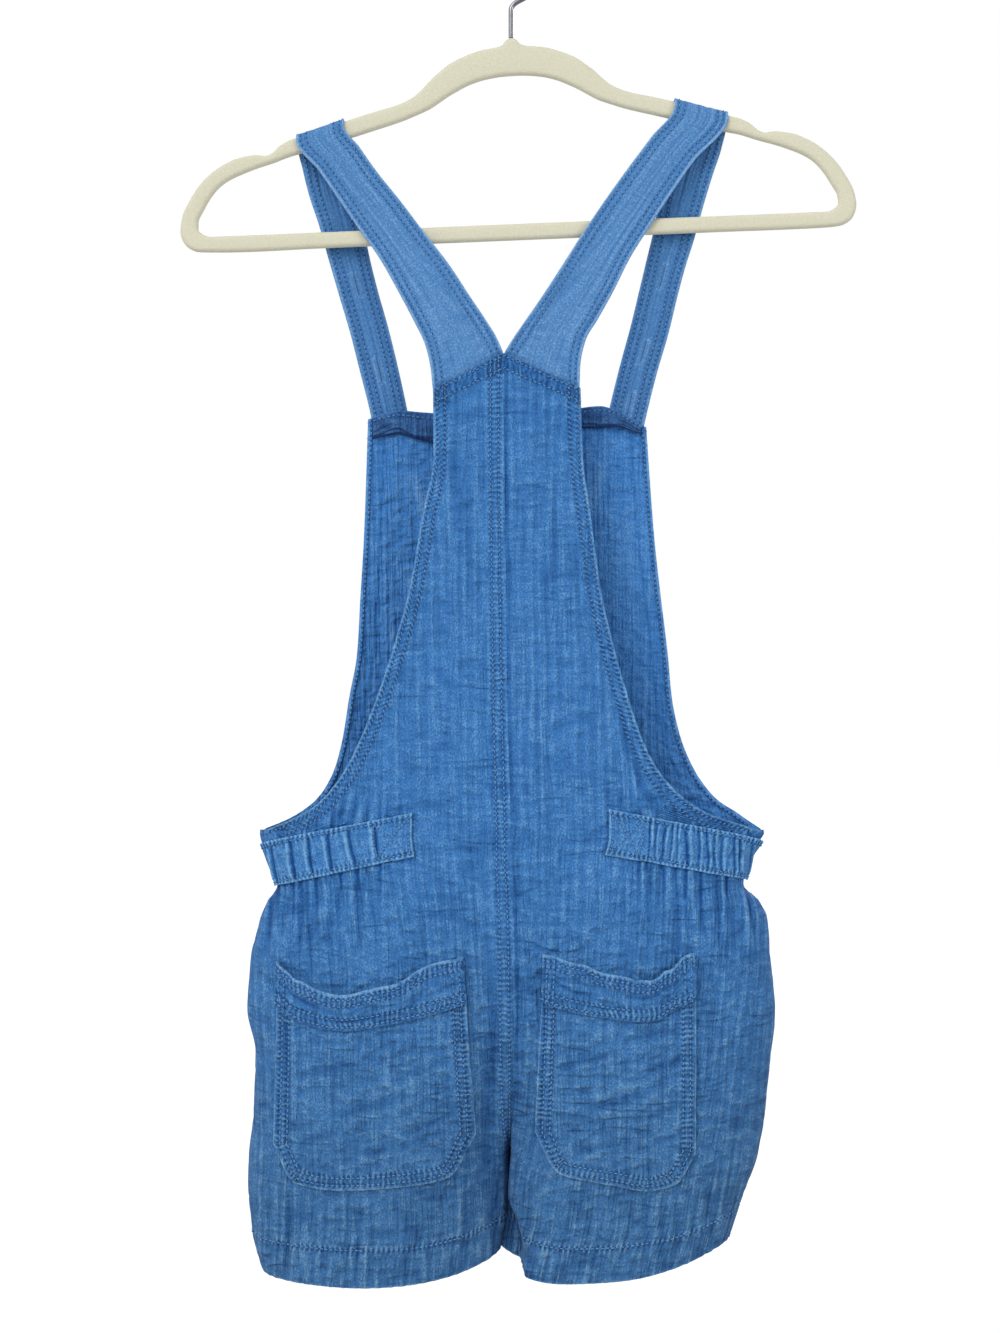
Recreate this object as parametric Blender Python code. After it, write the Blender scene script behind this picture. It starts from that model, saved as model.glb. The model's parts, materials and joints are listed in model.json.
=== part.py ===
"""A short overalls romper in crinkled double gauze, hanging by its straps from a slim flocked hanger.

The origin is the point inside the top of the hook where it rests on a rail. +X is to the right of
someone who looks at the garment's back, +Y points from the back to the bib, and +Z is up.
Tables give heights as a drop, in millimetres below the hook's rail point.
"""

import math

import bpy
import numpy as np
from mathutils import Vector

MM = 0.001

# Driving dimensions, in millimetres.
CLOTH = 1.5  # wall of one piece of double gauze with its turnings
GAP = 0.3  # between pieces that are sewn together or lie on each other
LAP = CLOTH + GAP  # from the middle of one layer to the middle of the next
PATCH_LAP = LAP + 0.4  # the same where a piece lies over a panel's curves
HEM_DEPTH = 23.0  # cloth turned up inside each leg
HEM_WALL = 3.0  # leg wall where the hem doubles it
CROTCH_DROP = 800.0
INSEAM_DROP = 862.0  # hem at the inseam
INSEAM_SPREAD = 0.5  # how far each inseam stands off the centre at the hem
RECESS = {"left": 0.0, "right": 17.5}  # from the inseam to the fold that faces the other leg
RECESS_FROM = 815.0
RECESS_TURN = 3.5
SIDE_ROUNDNESS = 2.5  # higher is boxier where the cloth turns at a side seam
INNER_ROUNDNESS = {"left": 2.1, "right": 5.0}  # the same where it turns in between the legs
BIB_TOP_DROP = 311.0
FACING_DEPTH = 15.0
FACING_ENDS = (-92.5, 87.0)
FACING_INSET = 0.8  # from the bib's upper edge
POCKET_SAG = 2.5  # how far a pocket's mouth stands off the seat
TAB_GATHER = 12.0  # from one gather to the next
TAB_GATHER_RISE = 1.8
TAB_BOX = 28.0  # flat, stitched inner end of a waist tab
TAB_COLUMNS = 34
TAB_ROWS = (0, 1 / 3, 2 / 3, 1)
BUTTON_RADIUS = 8.5
BUTTON_WALL = 2.8
BUTTON_DROP = 331.0
BUTTON_GAP = 0.5  # from the strap to the button sewn through it
THREAD_HOLE_RADIUS = 0.9
THREAD_HOLE_SPREAD = 2.2  # from the button's middle
HANGER_NECK_DROP = 62.0
HANGER_TILT = math.radians(2.35)  # the right end hangs higher
HANGER_HALF_WALL = 3.0
HANGER_HALF_SPAN = 224.0
ARM_LIFT = 2.6  # how far the right arm is bowed up at its middle
ARM_FOOT = (90.0, 120.0)  # drops below the neck between which an arm turns into the bar
WIRE_RADIUS = 1.65
HOOK_RADIUS = 18.0  # inside the hook, from its centre to the wire
STRAP_WRAP_RADIUS = HANGER_HALF_WALL + GAP + CLOTH / 2 + 0.15
STRAP_LEAVES_DROP = 132.0  # from here down a strap eases from the hanger towards its panel
STRAP_LAP = LAP + 0.2  # from the bib's cloth to the strap buttoned over it
YOKE_DROP = 272.3  # the point of the yoke seam, at the centre back

# The levels at which panels have a row of points, by their drop at the centre seam.
LOWER_LEVELS = (
    [594, 604, 613.5, 625, 637, 655, 680, 705, 728, 750, 768, 781, 790, 796, CROTCH_DROP]
    + [810, 824, 838, 841, 852, INSEAM_DROP]
)
BACK_LEVELS = [YOKE_DROP, 300, 335, 375, 415, 455, 490, 520, 541, 555, 565, 575] + LOWER_LEVELS
FRONT_LEVELS = [BIB_TOP_DROP, 342, 380, 420, 460, 495, 522, 541, 555, 565, 575] + LOWER_LEVELS
BACK_COLUMNS = 16
FRONT_COLUMNS = 10


def table(columns, *rows):
    """The named columns of a table, each as an array."""
    return dict(zip(columns.split(), np.array(rows, float).T))


# Both halves of the body, level by level. left and right are the side seams, centre is the centre
# seams; back and front say how far the cloth stands out at its fullest, back_mid and front_mid how
# far it does so at the centre seams, and left_y and right_y where the side seams lie.
BODY = table(
    "drop left right centre back back_mid front front_mid left_y right_y",
    (260, -135, 130, -5, 8, 8, 11, 11, 0, 0),
    (330, -140, 136, -5, 13, 13, 15, 15, 0, 0),
    (420, -148, 146, -4, 20, 20, 20, 20, 0, 0),
    (500, -156, 156, -3, 26, 26, 25, 25, 0, 0),
    (587, -165.5, 167, -1, 33, 33, 31, 31, 0, 0),
    (604, -160, 157.5, -1, 34, 34, 32, 32, 0, 0),
    (623, -154, 153.5, 0, 36, 35, 33, 33, 0, 0),
    (634, -160.5, 164, 0.5, 39, 37, 34.5, 34, 0, 0),
    (648, -166, 169.5, 1, 41.5, 39.5, 36.5, 35.5, 0, 0),
    (672, -171.5, 171, 1.5, 45, 42, 40, 37, 0, 0),
    (704, -173.5, 174, 1.5, 47, 42, 42, 37, 0, 0),
    (733, -168, 171, 1.5, 48, 37, 42, 33, -1, 0),
    (757, -168.5, 168.5, 1, 48, 29, 42, 26, -2, 0),
    (779, -169.5, 166, 0.5, 47.5, 19, 41.5, 17, -4, 0),
    (792, -171, 163.5, 0, 47, 9.5, 41, 8.5, -6, 0),
    (800, -171.5, 162, -0.5, 47, 0, 41, 0, -8, 0),
    (812, -171.5, 158, -1.5, 46.5, 0, 41, 0, -10, 0),
    (838, -169, 148, -3, 46, 0, 40.5, 0, -15, 0),
    (853, -165.5, 143.5, -5.5, 45, 0, 40, 0, -18, 0),
    (873, -159, 138, -8, 44, 0, 39, 0, -20, 0),
)

# Free edges from the straps down to the top of the side seams.
EDGE = {
    "back": table(
        "drop left right",
        (270, -51.5, 45),
        (340, -51, 47),
        (379, -58, 52),
        (428, -66.5, 58.5),
        (470, -78, 68),
        (500, -88, 76.5),
        (523, -97, 84),
        (542, -106, 93),
        (557, -116, 104.5),
        (569, -127.5, 119),
        (576, -139, 133),
        (581, -150, 149),
        (587, -165.5, 167),
    ),
    "front": table(
        "drop left right",
        (311, -95.5, 90),
        (390, -98.5, 96),
        (430, -101, 100.5),
        (470, -103.5, 105.5),
        (500, -109, 108.5),
        (525, -113, 114),
        (545, -118, 122),
        (560, -125, 131.5),
        (569, -132, 140),
        (576, -141, 151),
        (581, -150, 158),
        (587, -165.5, 167),
    ),
}
SIDE_TOP_DROP = 587.0

# Where a level that crosses the centre seam at one drop meets the left and the right edge.
LEVELS = {
    "back": table(
        "centre left right",
        (272.3, 296.5, 295.5),
        (455, 460, 460),
        (575, 587, 587),
        (700, 704, 704),
        (800, 804, 796),
        (862, 868, 852),
    ),
    "front": table(
        "centre left right",
        (311, 313, 318),
        (455, 460, 460),
        (575, 587, 587),
        (700, 704, 704),
        (800, 804, 796),
        (862, 868, 852),
    ),
}
# How far each hem hangs below the line from side seam to inseam, and how squarely.
HEM_SAG = {"left": 7.0, "right": 14.5}
HEM_SQUARENESS = {"left": 2.2, "right": 3.2}
HEM_LEAN = 1.35  # over 1 where the hem hangs lowest towards the inseam
HEM_SAG_FROM = 700.0
# The bib's upper edge, drawn up where the straps are buttoned.
BIB_TOP = table(
    "x drop",
    (-95.5, 313),
    (-85, 309),
    (-74, 307),
    (-61, 308),
    (-5, 311),
    (38, 306.5),
    (60, 304),
    (73, 308),
    (81, 313),
    (90, 318),
)
BIB_EVEN_DROP = 370.0  # levels from here down no longer follow the bib's upper edge

# Soft folds: a trough runs from one end to the other, and a negative depth is a ridge.
FOLDS = {
    "back": table(
        "x drop end_x end_drop width depth",
        (-15, 650, -20, 868, 9, 6),
        (11, 700, 9, 868, 10, 3),
        (-134, 618, -137, 700, 9, 3),
        (-97, 606, -96, 668, 9, 2),
        (106, 604, 107, 700, 9, 3),
        (130, 612, 136, 690, 9, 3),
        (-60, 800, -66, 872, 14, -2),
        (70, 806, 92, 868, 14, 2.5),
    ),
    "front": table(
        "x drop end_x end_drop width depth",
        (-14, 690, -18, 868, 10, 4),
        (16, 700, 18, 868, 10, 4),
        (-118, 604, -122, 712, 10, 3),
        (112, 600, 118, 708, 10, 3),
        (-62, 640, -70, 800, 16, 2),
        (66, 650, 74, 810, 16, 2),
    ),
}

# Patch pockets: one row for each station across, with the mouth, the band's foot and the bottom.
POCKET_COLUMNS = 11
POCKET_ROWS = {"bottom": 10, "band": 3}
POCKETS = {
    "left": table(
        "x foot_x mouth band bottom",
        (-150, -151.5, 669, 697, 785),
        (-134, -137, 680, 706, 807),
        (-108, -110, 687, 711, 810.5),
        (-77, -76, 681, 706, 809),
        (-52, -42, 669.5, 699.5, 805),
        (-31, -24.5, 664, 693, 778),
    ),
    "right": table(
        "x foot_x mouth band bottom",
        (20, 16.5, 661, 692, 777),
        (35, 31, 666, 697, 802),
        (68, 66, 675, 703, 808.5),
        (86, 86, 677.5, 704.5, 812),
        (102, 104, 670, 698, 808),
        (117.5, 117, 661, 691, 789),
    ),
}

# Waist tabs: the inner end's x, and its top and bottom, then the same at the side seam.
TABS = {
    "left": {"inner_x": -64.0, "inner": (573.0, 601.0), "side": (595.5, 624.0)},
    "right": {"inner_x": 63.0, "inner": (570.5, 600.0), "side": (593.5, 619.5)},
}

# Straps, section by section: the edge towards the arm and the edge towards the neck.
STRAP_BACK = {
    "left": table(
        "arm_x arm_drop neck_x neck_drop",
        (-51.5, 296, -5.2, 271.8),
        (-53, 282, -9.5, 262),
        (-56.5, 267, -17.5, 249),
        (-64, 251, -27.5, 234),
        (-74, 232, -40.5, 214),
        (-87, 209, -58.5, 190.5),
        (-101, 189, -74, 170),
        (-114, 170, -88, 152.5),
        (-127, 151, -100, 135.5),
    ),
    "right": table(
        "arm_x arm_drop neck_x neck_drop",
        (45, 295, -4.4, 271.8),
        (45.5, 281, 1, 263),
        (49, 264, 9.5, 250.5),
        (57, 250, 18.5, 237.5),
        (67.5, 231, 31.5, 217.5),
        (78.5, 209, 48, 191.5),
        (92, 187.5, 62.5, 170),
        (106, 166, 77.5, 149),
        (120.5, 145, 92, 129.5),
    ),
}
STRAP_FRONT = {
    "left": table(
        "arm_x arm_drop neck_x neck_drop",
        (-138.5, 148, -107.5, 139),
        (-134, 166, -104, 158),
        (-128, 184, -99.5, 177),
        (-121, 209, -95, 202),
        (-114, 233, -89, 227),
        (-107, 257, -82.5, 250),
        (-101, 281, -76.5, 274),
        (-95, 305, -71, 299),
        (-90, 330, -66, 324),
        (-86, 353, -62, 348),
    ),
    "right": table(
        "arm_x arm_drop neck_x neck_drop",
        (140, 134, 107, 125),
        (134, 152, 103.5, 144),
        (128, 172, 99, 165),
        (122, 194, 95, 188),
        (116, 213, 90.5, 207),
        (111, 232, 86, 226),
        (105, 257, 80, 251),
        (98, 281, 73.5, 275),
        (92, 305, 67.5, 299),
        (86.5, 330, 62, 324),
        (82, 353, 58, 348),
    ),
}
# Where each strap crosses the hanger.
STRAP_TOP = {"left": (-142.0, -110.5), "right": (143.5, 108.0)}

# Half of the hanger, from the neck round to the middle of the bar: outer edge, then inner edge.
HANGER = table(
    "outer_x outer_drop inner_x inner_drop",
    (0, 0, 0, 25),
    (3.2, 1.2, 3, 25.1),
    (6, 4.6, 7, 25.3),
    (10, 5.9, 11, 25.7),
    (20, 7.4, 19, 27),
    (33, 11.6, 29, 30),
    (42, 16, 37, 33.8),
    (48, 20.4, 43, 37),
    (54, 25.4, 49, 40.8),
    (60, 31.5, 56, 45),
    (67, 37, 64, 48.3),
    (76, 41, 74, 52),
    (95, 46, 92, 57.2),
    (118, 52.4, 115, 63.6),
    (143, 60, 140, 70.4),
    (150, 62, 147.5, 72),
    (156.5, 65.6, 154, 74),
    (161, 69.6, 159, 75.8),
    (165.4, 71.4, 164.4, 77.4),
    (171.6, 70.6, 171.6, 79.4),
    (182.9, 72, 181.9, 83),
    (192.1, 75.4, 189.1, 86),
    (201.4, 81, 196.2, 90.4),
    (210.6, 89.6, 202.4, 97),
    (217.8, 100, 208.1, 106),
    (222.6, 110, 211.7, 113),
    (224.2, 120, 212.1, 118.4),
    (220.9, 128.6, 208.6, 122),
    (212.7, 133.2, 204.5, 123.4),
    (199.3, 134, 196.2, 123.5),
    (130, 134, 130, 123.5),
    (65, 134, 65, 123.3),
)

COLORS = {
    "cloth": ((0.055, 0.195, 0.48, 1.0), 0.95, 0.0),
    "cloth_inside": ((0.045, 0.155, 0.39, 1.0), 0.95, 0.0),
    "button": ((0.05, 0.13, 0.30, 1.0), 0.45, 0.0),
    "flocking": ((0.55, 0.53, 0.44, 1.0), 0.95, 0.0),
    "chrome": ((0.75, 0.76, 0.78, 1.0), 0.12, 1.0),
}


def clear_scene():
    for thing in list(bpy.data.objects):
        bpy.data.objects.remove(thing, do_unlink=True)


def material(node, finish):
    """A plain material of the piece's own."""
    color, roughness, metallic = COLORS[finish]
    made = bpy.data.materials.new(node)
    made.use_nodes = True
    shader = made.node_tree.nodes["Principled BSDF"]
    shader.inputs["Base Color"].default_value = color
    shader.inputs["Roughness"].default_value = roughness
    shader.inputs["Metallic"].default_value = metallic
    made.diffuse_color = color
    return made


def smooth(knots, values, at):
    """Values along a soft curve through the knots that never swings past one of them."""
    knots = np.asarray(knots, float)
    values = np.asarray(values, float)
    at = np.clip(np.asarray(at, float), knots[0], knots[-1])
    steps = np.diff(knots)
    slopes = np.diff(values) / steps
    before, after = slopes[:-1], slopes[1:]
    together = np.where(before * after > 0, before + after, 1.0)
    bends = np.where(before * after > 0, 2 * before * after / together, 0.0)
    tangents = np.concatenate([slopes[:1], bends, slopes[-1:]])
    i = np.clip(np.searchsorted(knots, at, side="right") - 1, 0, len(steps) - 1)
    t = (at - knots[i]) / steps[i]
    rise = values[i] * (2 * t**3 - 3 * t**2 + 1) + values[i + 1] * (3 * t**2 - 2 * t**3)
    lean = tangents[i] * (t**3 - 2 * t**2 + t) + tangents[i + 1] * (t**3 - t**2)
    return rise + lean * steps[i]


def body(column, drop):
    return smooth(BODY["drop"], BODY[column], drop)


def eased(low, high, value):
    """0 below low, 1 above high, and a soft rise between."""
    t = np.clip((value - low) / (high - low), 0, 1)
    return t * t * (3 - 2 * t)


def creases(face, x, drop):
    """How far the folds press the cloth in at a place."""
    folds = FOLDS[face]
    total = np.zeros(np.broadcast(x, drop).shape)
    for start, top, end, foot, width, depth in zip(*folds.values()):
        along = np.clip((drop - top) / (foot - top), 0, 1)
        off = x - (start + (end - start) * along)
        total += depth * np.sin(np.pi * along) ** 0.7 * np.exp(-((off / width) ** 2))
    return total


def turn_at_centre(face, side, drop):
    """The angle through which a level has turned when it reaches the centre seam."""
    share = np.clip(body(face + "_mid", drop) / body(face, drop), 0, 1)
    return np.pi - np.arcsin(share ** (INNER_ROUNDNESS[side] / 2))


def stand_out(face, side, share, drop):
    """How far the cloth stands out, at a share of the way from the side seam to the centre."""
    cosine = 1 - share * (1 - np.cos(turn_at_centre(face, side, drop)))
    sine = np.sqrt(np.clip(1 - cosine**2, 0, 1))
    roundness = np.where(cosine > 0, SIDE_ROUNDNESS, INNER_ROUNDNESS[side])
    return body(face, drop) * sine ** (2 / roundness)


def sign_of(face):
    return -1.0 if face == "back" else 1.0


def inner_x(side, drop):
    """Where the centre seam or the inseam lies, without the wall beside it."""
    below = eased(CROTCH_DROP, INSEAM_DROP, drop) * INSEAM_SPREAD
    return body("centre", drop) + (below if side == "right" else -below)


def cloth(face, side, share, drop):
    """Points in the middle of the cloth of one half of one face."""
    x = body(side, drop) * (1 - share) + inner_x(side, drop) * share
    seam_y = body(side + "_y", drop) * (1 - share)
    out = stand_out(face, side, share, drop) - creases(face, x, drop) * np.sqrt(share)
    out = out * beyond_recess(side, x, drop)
    return np.stack([x, seam_y + sign_of(face) * out, -np.asarray(drop, float)], axis=-1)


def beyond_recess(side, x, drop):
    """0 where a leg lies back beside its inseam, near the hem, and 1 everywhere else."""
    recess = RECESS[side] * eased(RECESS_FROM, INSEAM_DROP, drop)
    return eased(-RECESS_TURN, 0, np.abs(x - inner_x(side, drop)) - recess)


def share_at(side, x, drop):
    outer = body(side, drop)
    return np.clip((x - outer) / (inner_x(side, drop) - outer), 0, 1)


def cloth_at(face, x, drop):
    """Points in the middle of the cloth at given places, on whichever half they fall."""
    x = np.asarray(x, float)
    drop = np.asarray(drop, float)
    on_left = x < body("centre", drop)
    left = cloth(face, "left", share_at("left", x, drop), drop)
    right = cloth(face, "right", share_at("right", x, drop), drop)
    found = np.where(on_left[..., None], left, right)
    found[..., 0] = x
    return found


def even_shares(face, side, drop, first, count, last=1.0):
    """Shares from first to last that lie evenly along the cloth at one level."""
    turns = np.linspace(0, float(turn_at_centre(face, side, drop)), 160)
    fine = (1 - np.cos(turns)) / (1 - np.cos(turns[-1]))
    points = cloth(face, side, fine, np.full(fine.shape, drop))
    walked = np.concatenate([[0], np.cumsum(np.linalg.norm(np.diff(points, axis=0), axis=1))])
    start, end = np.interp((first, last), fine, walked)
    return np.interp(np.linspace(start, end, count), walked, fine)


def hem_sag(side, share, level):
    bow = 1 - np.abs(2 * share**HEM_LEAN - 1) ** HEM_SQUARENESS[side]
    return HEM_SAG[side] * bow * eased(HEM_SAG_FROM, INSEAM_DROP, level)


def bib_rise(side, share, across, level):
    """How far a level near the top of the bib is drawn up by the straps."""
    straight = BIB_TOP_DROP + (LEVELS["front"][side][0] - BIB_TOP_DROP) * across
    x = body(side, straight) * (1 - share) + inner_x(side, straight) * share
    drawn = smooth(BIB_TOP["x"], BIB_TOP["drop"], x) - straight
    return drawn * (1 - eased(BIB_TOP_DROP, BIB_EVEN_DROP, level))


def panel_points(face, side, levels, count):
    """The middle of one panel's cloth: a row for each level, from its free edge or side to the centre."""
    rows = []
    for level in levels:
        edge_drop = float(smooth(LEVELS[face]["centre"], LEVELS[face][side], level))
        edge_x = float(smooth(EDGE[face]["drop"], EDGE[face][side], edge_drop))
        first = float(share_at(side, edge_x, edge_drop)) if edge_drop < SIDE_TOP_DROP else 0.0
        share = even_shares(face, side, level, first, count)
        across = (1 - share) / (1 - first)
        drop = level + (edge_drop - level) * across + hem_sag(side, share, level)
        if face == "front":
            drop = drop + bib_rise(side, share, across, level)
        rows.append(cloth(face, side, share, drop))
    return np.array(rows)


def outward(points):
    """Unit normals of a grid of points, on the side that faces away from the garment's middle."""
    down = np.gradient(points, axis=0)
    across = np.gradient(points, axis=1)
    normals = np.cross(down, across)
    normals /= np.linalg.norm(normals, axis=-1, keepdims=True)
    return normals * np.sign((normals[..., 1] * np.sign(points[..., 1])).sum())


def as_object(name, vertices, faces, finish):
    """One closed mesh object, turned so that its faces look out."""
    vertices = np.asarray(vertices, float) * MM
    mesh = bpy.data.meshes.new(name)
    mesh.from_pydata(vertices.tolist(), [], faces)
    mesh.calc_loop_triangles()
    corners = vertices[np.array([list(t.vertices) for t in mesh.loop_triangles])]
    if np.linalg.det(corners).sum() < 0:
        mesh.flip_normals()
    mesh.materials.append(material(name, finish))
    mesh.shade_smooth()
    mesh.set_sharp_from_angle(angle=math.radians(40))
    piece = bpy.data.objects.new(name, mesh)
    bpy.context.scene.collection.objects.link(piece)
    return piece


def grid_wall(name, outer, inner, finish):
    """A thin wall between two grids of points of the same size."""
    rows, columns = outer.shape[:2]
    half = rows * columns
    vertices = np.concatenate([outer.reshape(-1, 3), inner.reshape(-1, 3)])
    faces = []
    for r in range(rows - 1):
        for c in range(columns - 1):
            a = r * columns + c
            quad = (a, a + 1, a + columns + 1, a + columns)
            faces.append(quad)
            faces.append(tuple(half + corner for corner in reversed(quad)))
    rim = [c for c in range(columns)]
    rim += [r * columns + columns - 1 for r in range(1, rows)]
    rim += [(rows - 1) * columns + c for c in range(columns - 2, -1, -1)]
    rim += [r * columns for r in range(rows - 2, 0, -1)]
    for a, b in zip(rim, rim[1:] + rim[:1]):
        faces.append((b, a, half + a, half + b))
    return as_object(name, vertices, faces, finish)


def kept_to_half(points, side):
    """Holds a piece half a gap clear of the middle of the garment."""
    middle = body("centre", -points[..., 2])
    held = points.copy()
    if side == "left":
        held[..., 0] = np.minimum(held[..., 0], middle - GAP / 2)
    else:
        held[..., 0] = np.maximum(held[..., 0], middle + GAP / 2)
    return held


def kept_apart(points, face, side):
    """Holds a panel half a gap clear of the other half, and of the other face at the side."""
    drop = -points[..., 2]
    seam = body(side + "_y", drop) * (1 - share_at(side, points[..., 0], drop))
    held = kept_to_half(points, side)
    if face == "back":
        held[..., 1] = np.minimum(held[..., 1], seam - GAP / 2)
    else:
        held[..., 1] = np.maximum(held[..., 1], seam + GAP / 2)
    return held


def with_inner_end_clear(points, side, face):
    """Draws in the inner end of each level by half a wall where the cloth there runs front to back."""
    drop = -points[:, -1, 2]
    turned = np.clip(-np.cos(turn_at_centre(face, side, drop)), 0, 1)
    inset = (GAP + CLOTH * turned) / 2
    across = np.abs(points[..., 0] - points[:, :1, 0])
    across /= across[:, -1:]
    moved = points.copy()
    moved[..., 0] += (-1 if side == "left" else 1) * inset[:, None] * across**4
    return moved


def panel(face, side):
    levels = BACK_LEVELS if face == "back" else FRONT_LEVELS
    count = BACK_COLUMNS if face == "back" else FRONT_COLUMNS
    middle = with_inner_end_clear(panel_points(face, side, levels, count), side, face)
    normals = outward(middle)
    hem_from = INSEAM_DROP - HEM_DEPTH
    inside = np.where(np.asarray(levels) > hem_from, HEM_WALL - CLOTH / 2, CLOTH / 2)
    outer = kept_apart(middle + normals * CLOTH / 2, face, side)
    inner = kept_apart(middle - normals * inside[:, None, None], face, side)
    grid_wall(f"{face}_{side}", outer, inner, "cloth")


def patch(name, points, out, finish="cloth"):
    """A wall that lies on a panel: its points, moved out."""
    out = np.broadcast_to(np.asarray(out, float), points.shape[:2])[..., None]
    normals = outward(points)
    outer = points + normals * (out + CLOTH / 2)
    inner = points + normals * (out - CLOTH / 2)
    return grid_wall(name, outer, inner, finish)


def pocket_grid(side, foot):
    """Places on the seat from a pocket's mouth to its foot, and how far across and down they are."""
    shape = POCKETS[side]
    stations = np.linspace(0, 1, len(shape["x"]))
    a = np.linspace(0, 1, POCKET_COLUMNS)[None, :]
    b = np.linspace(0, 1, POCKET_ROWS[foot])[:, None]
    mouth = smooth(stations, shape["mouth"], a)
    drop = mouth + (smooth(stations, shape[foot], a) - mouth) * b
    whole = (drop - mouth) / (smooth(stations, shape["bottom"], a) - mouth)
    x = smooth(stations, shape["x"], a)
    x = x + (smooth(stations, shape["foot_x"], a) - x) * whole
    return cloth_at("back", x, drop), a, whole


def stand_off(a, whole):
    """How far a pocket stands off the seat, most at the middle of its mouth."""
    return PATCH_LAP + POCKET_SAG * np.sin(np.pi * a) * (1 - whole) ** 3


def pocket(side):
    points, a, whole = pocket_grid(side, "bottom")
    patch(f"pocket_{side}", points, stand_off(a, whole))
    points, a, whole = pocket_grid(side, "band")
    patch(f"pocket_band_{side}", points, stand_off(a, whole) + PATCH_LAP)


def waist_tab(side):
    """An elastic casing that lies in gathers, flat only at its stitched inner end."""
    tab = TABS[side]
    reach = float(share_at(side, tab["inner_x"], np.mean(tab["inner"])))
    shares = even_shares("back", side, float(np.mean(tab["side"])), 0, TAB_COLUMNS, reach)
    along = np.linspace(0, 1, TAB_COLUMNS)
    top = tab["side"][0] + (tab["inner"][0] - tab["side"][0]) * along
    foot = tab["side"][1] + (tab["inner"][1] - tab["side"][1]) * along
    rows = [cloth("back", side, shares, top + (foot - top) * down) for down in TAB_ROWS]
    points = np.array(rows)
    steps = np.linalg.norm(np.diff(points[0], axis=0), axis=1)
    walked = np.concatenate([[0], np.cumsum(steps)])
    ripple = 0.5 - 0.5 * np.cos(2 * np.pi * walked / TAB_GATHER)
    box_starts = walked[-1] - TAB_BOX
    flat = 1 - eased(box_starts - TAB_GATHER / 2, box_starts, walked)
    normals = outward(points)
    made = points + normals * (PATCH_LAP + TAB_GATHER_RISE * ripple * flat)[None, :, None]
    outer = kept_apart(made + normals * CLOTH / 2, "back", side)
    inner = kept_apart(made - normals * CLOTH / 2, "back", side)
    grid_wall(f"waist_tab_{side}", outer, inner, "cloth")


def bib_facing():
    """The band inside the top of the bib."""
    x = np.linspace(*FACING_ENDS, 13)
    top = smooth(BIB_TOP["x"], BIB_TOP["drop"], x) + FACING_INSET
    rows = [cloth_at("front", x, top + FACING_DEPTH * down) for down in (0, 0.5, 1)]
    patch("bib_facing", np.array(rows), -LAP, "cloth_inside")


def hanger_pairs():
    """Outer and inner points all the way round the hanger, tilted and in place."""
    half = np.stack(list(HANGER.values()), axis=-1)
    mirrored = half[:0:-1] * (-1, 1, -1, 1)
    pairs = np.concatenate([half, mirrored]).reshape(-1, 2, 2)
    return tilted(pairs)


def tilted(points):
    """Places on the hanger, (x, drop) from its neck, as (x, drop) from the rail point."""
    x, drop = points[..., 0], points[..., 1]
    bowed = ARM_LIFT * np.sin(np.pi * np.clip(x / HANGER_HALF_SPAN, 0, 1))
    drop = drop - bowed * (1 - eased(*ARM_FOOT, drop))
    turned_x = x * math.cos(HANGER_TILT) + drop * math.sin(HANGER_TILT)
    turned_drop = drop * math.cos(HANGER_TILT) - x * math.sin(HANGER_TILT)
    return np.stack([turned_x, turned_drop + HANGER_NECK_DROP], axis=-1)


def arm_top(x):
    """Drop of the hanger's upper edge."""
    outer = hanger_pairs()[:, 0]
    upper = outer[outer[:, 1] < HANGER_NECK_DROP + ARM_FOOT[1] - 2]
    upper = upper[np.argsort(upper[:, 0])]
    return np.interp(x, upper[:, 0], upper[:, 1])


def hanger_body():
    """A stadium section, fully round at both edges, carried round the loop of arms and bar."""
    pairs = hanger_pairs()
    angles = np.radians([-90, -45, 0, 45, 90])
    rings = []
    for outer, inner in pairs:
        across = (inner - outer) / np.linalg.norm(inner - outer)
        ring = []
        for edge, sign in ((outer, 1), (inner, -1)):
            for angle in angles:
                inset = HANGER_HALF_WALL * (1 - math.cos(angle))
                place = edge + sign * across * inset
                ring.append((place[0], sign * HANGER_HALF_WALL * math.sin(angle), -place[1]))
        rings.append(ring)
    closed_tube("hanger_body", np.array(rings), "flocking", loop=True)


def closed_tube(name, rings, finish, loop=False):
    """Rings of points joined in order, with flat ends or round again to the first."""
    count, size = rings.shape[:2]
    faces = []
    for r in range(count if loop else count - 1):
        here, there = r * size, (r + 1) % count * size
        for k in range(size):
            n = (k + 1) % size
            faces.append((here + k, here + n, there + n, there + k))
    if not loop:
        faces.append(tuple(range(size - 1, -1, -1)))
        faces.append(tuple(range((count - 1) * size, count * size)))
    return as_object(name, rings.reshape(-1, 3), faces, finish)


def arc(centre, radius, start, end, count):
    """Points on an arc, (x, drop), with angles in degrees anticlockwise from +X."""
    angles = np.radians(np.linspace(start, end, count))
    return np.stack([centre[0] + radius * np.cos(angles), centre[1] - radius * np.sin(angles)], axis=-1)


def hook_path():
    """The wire from the neck up its shank, out to the side and over the top of the hook."""
    middle = HOOK_RADIUS + WIRE_RADIUS
    centre = (0.0, HOOK_RADIUS)
    over = arc(centre, middle, -38, 205, 26)
    shank = np.array([(0, HANGER_NECK_DROP - GAP), (0, 52), (0, 44)])
    ease = np.linspace(0, 1, 7)[1:-1, None]
    start, end = shank[-1], over[0]
    bow = (1 - ease) ** 3 * start + 3 * (1 - ease) ** 2 * ease * (start + (0, -7))
    bow = bow + 3 * (1 - ease) * ease**2 * (end + (-6.0, 7.5)) + ease**3 * end
    return np.concatenate([shank, bow, over])


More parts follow.
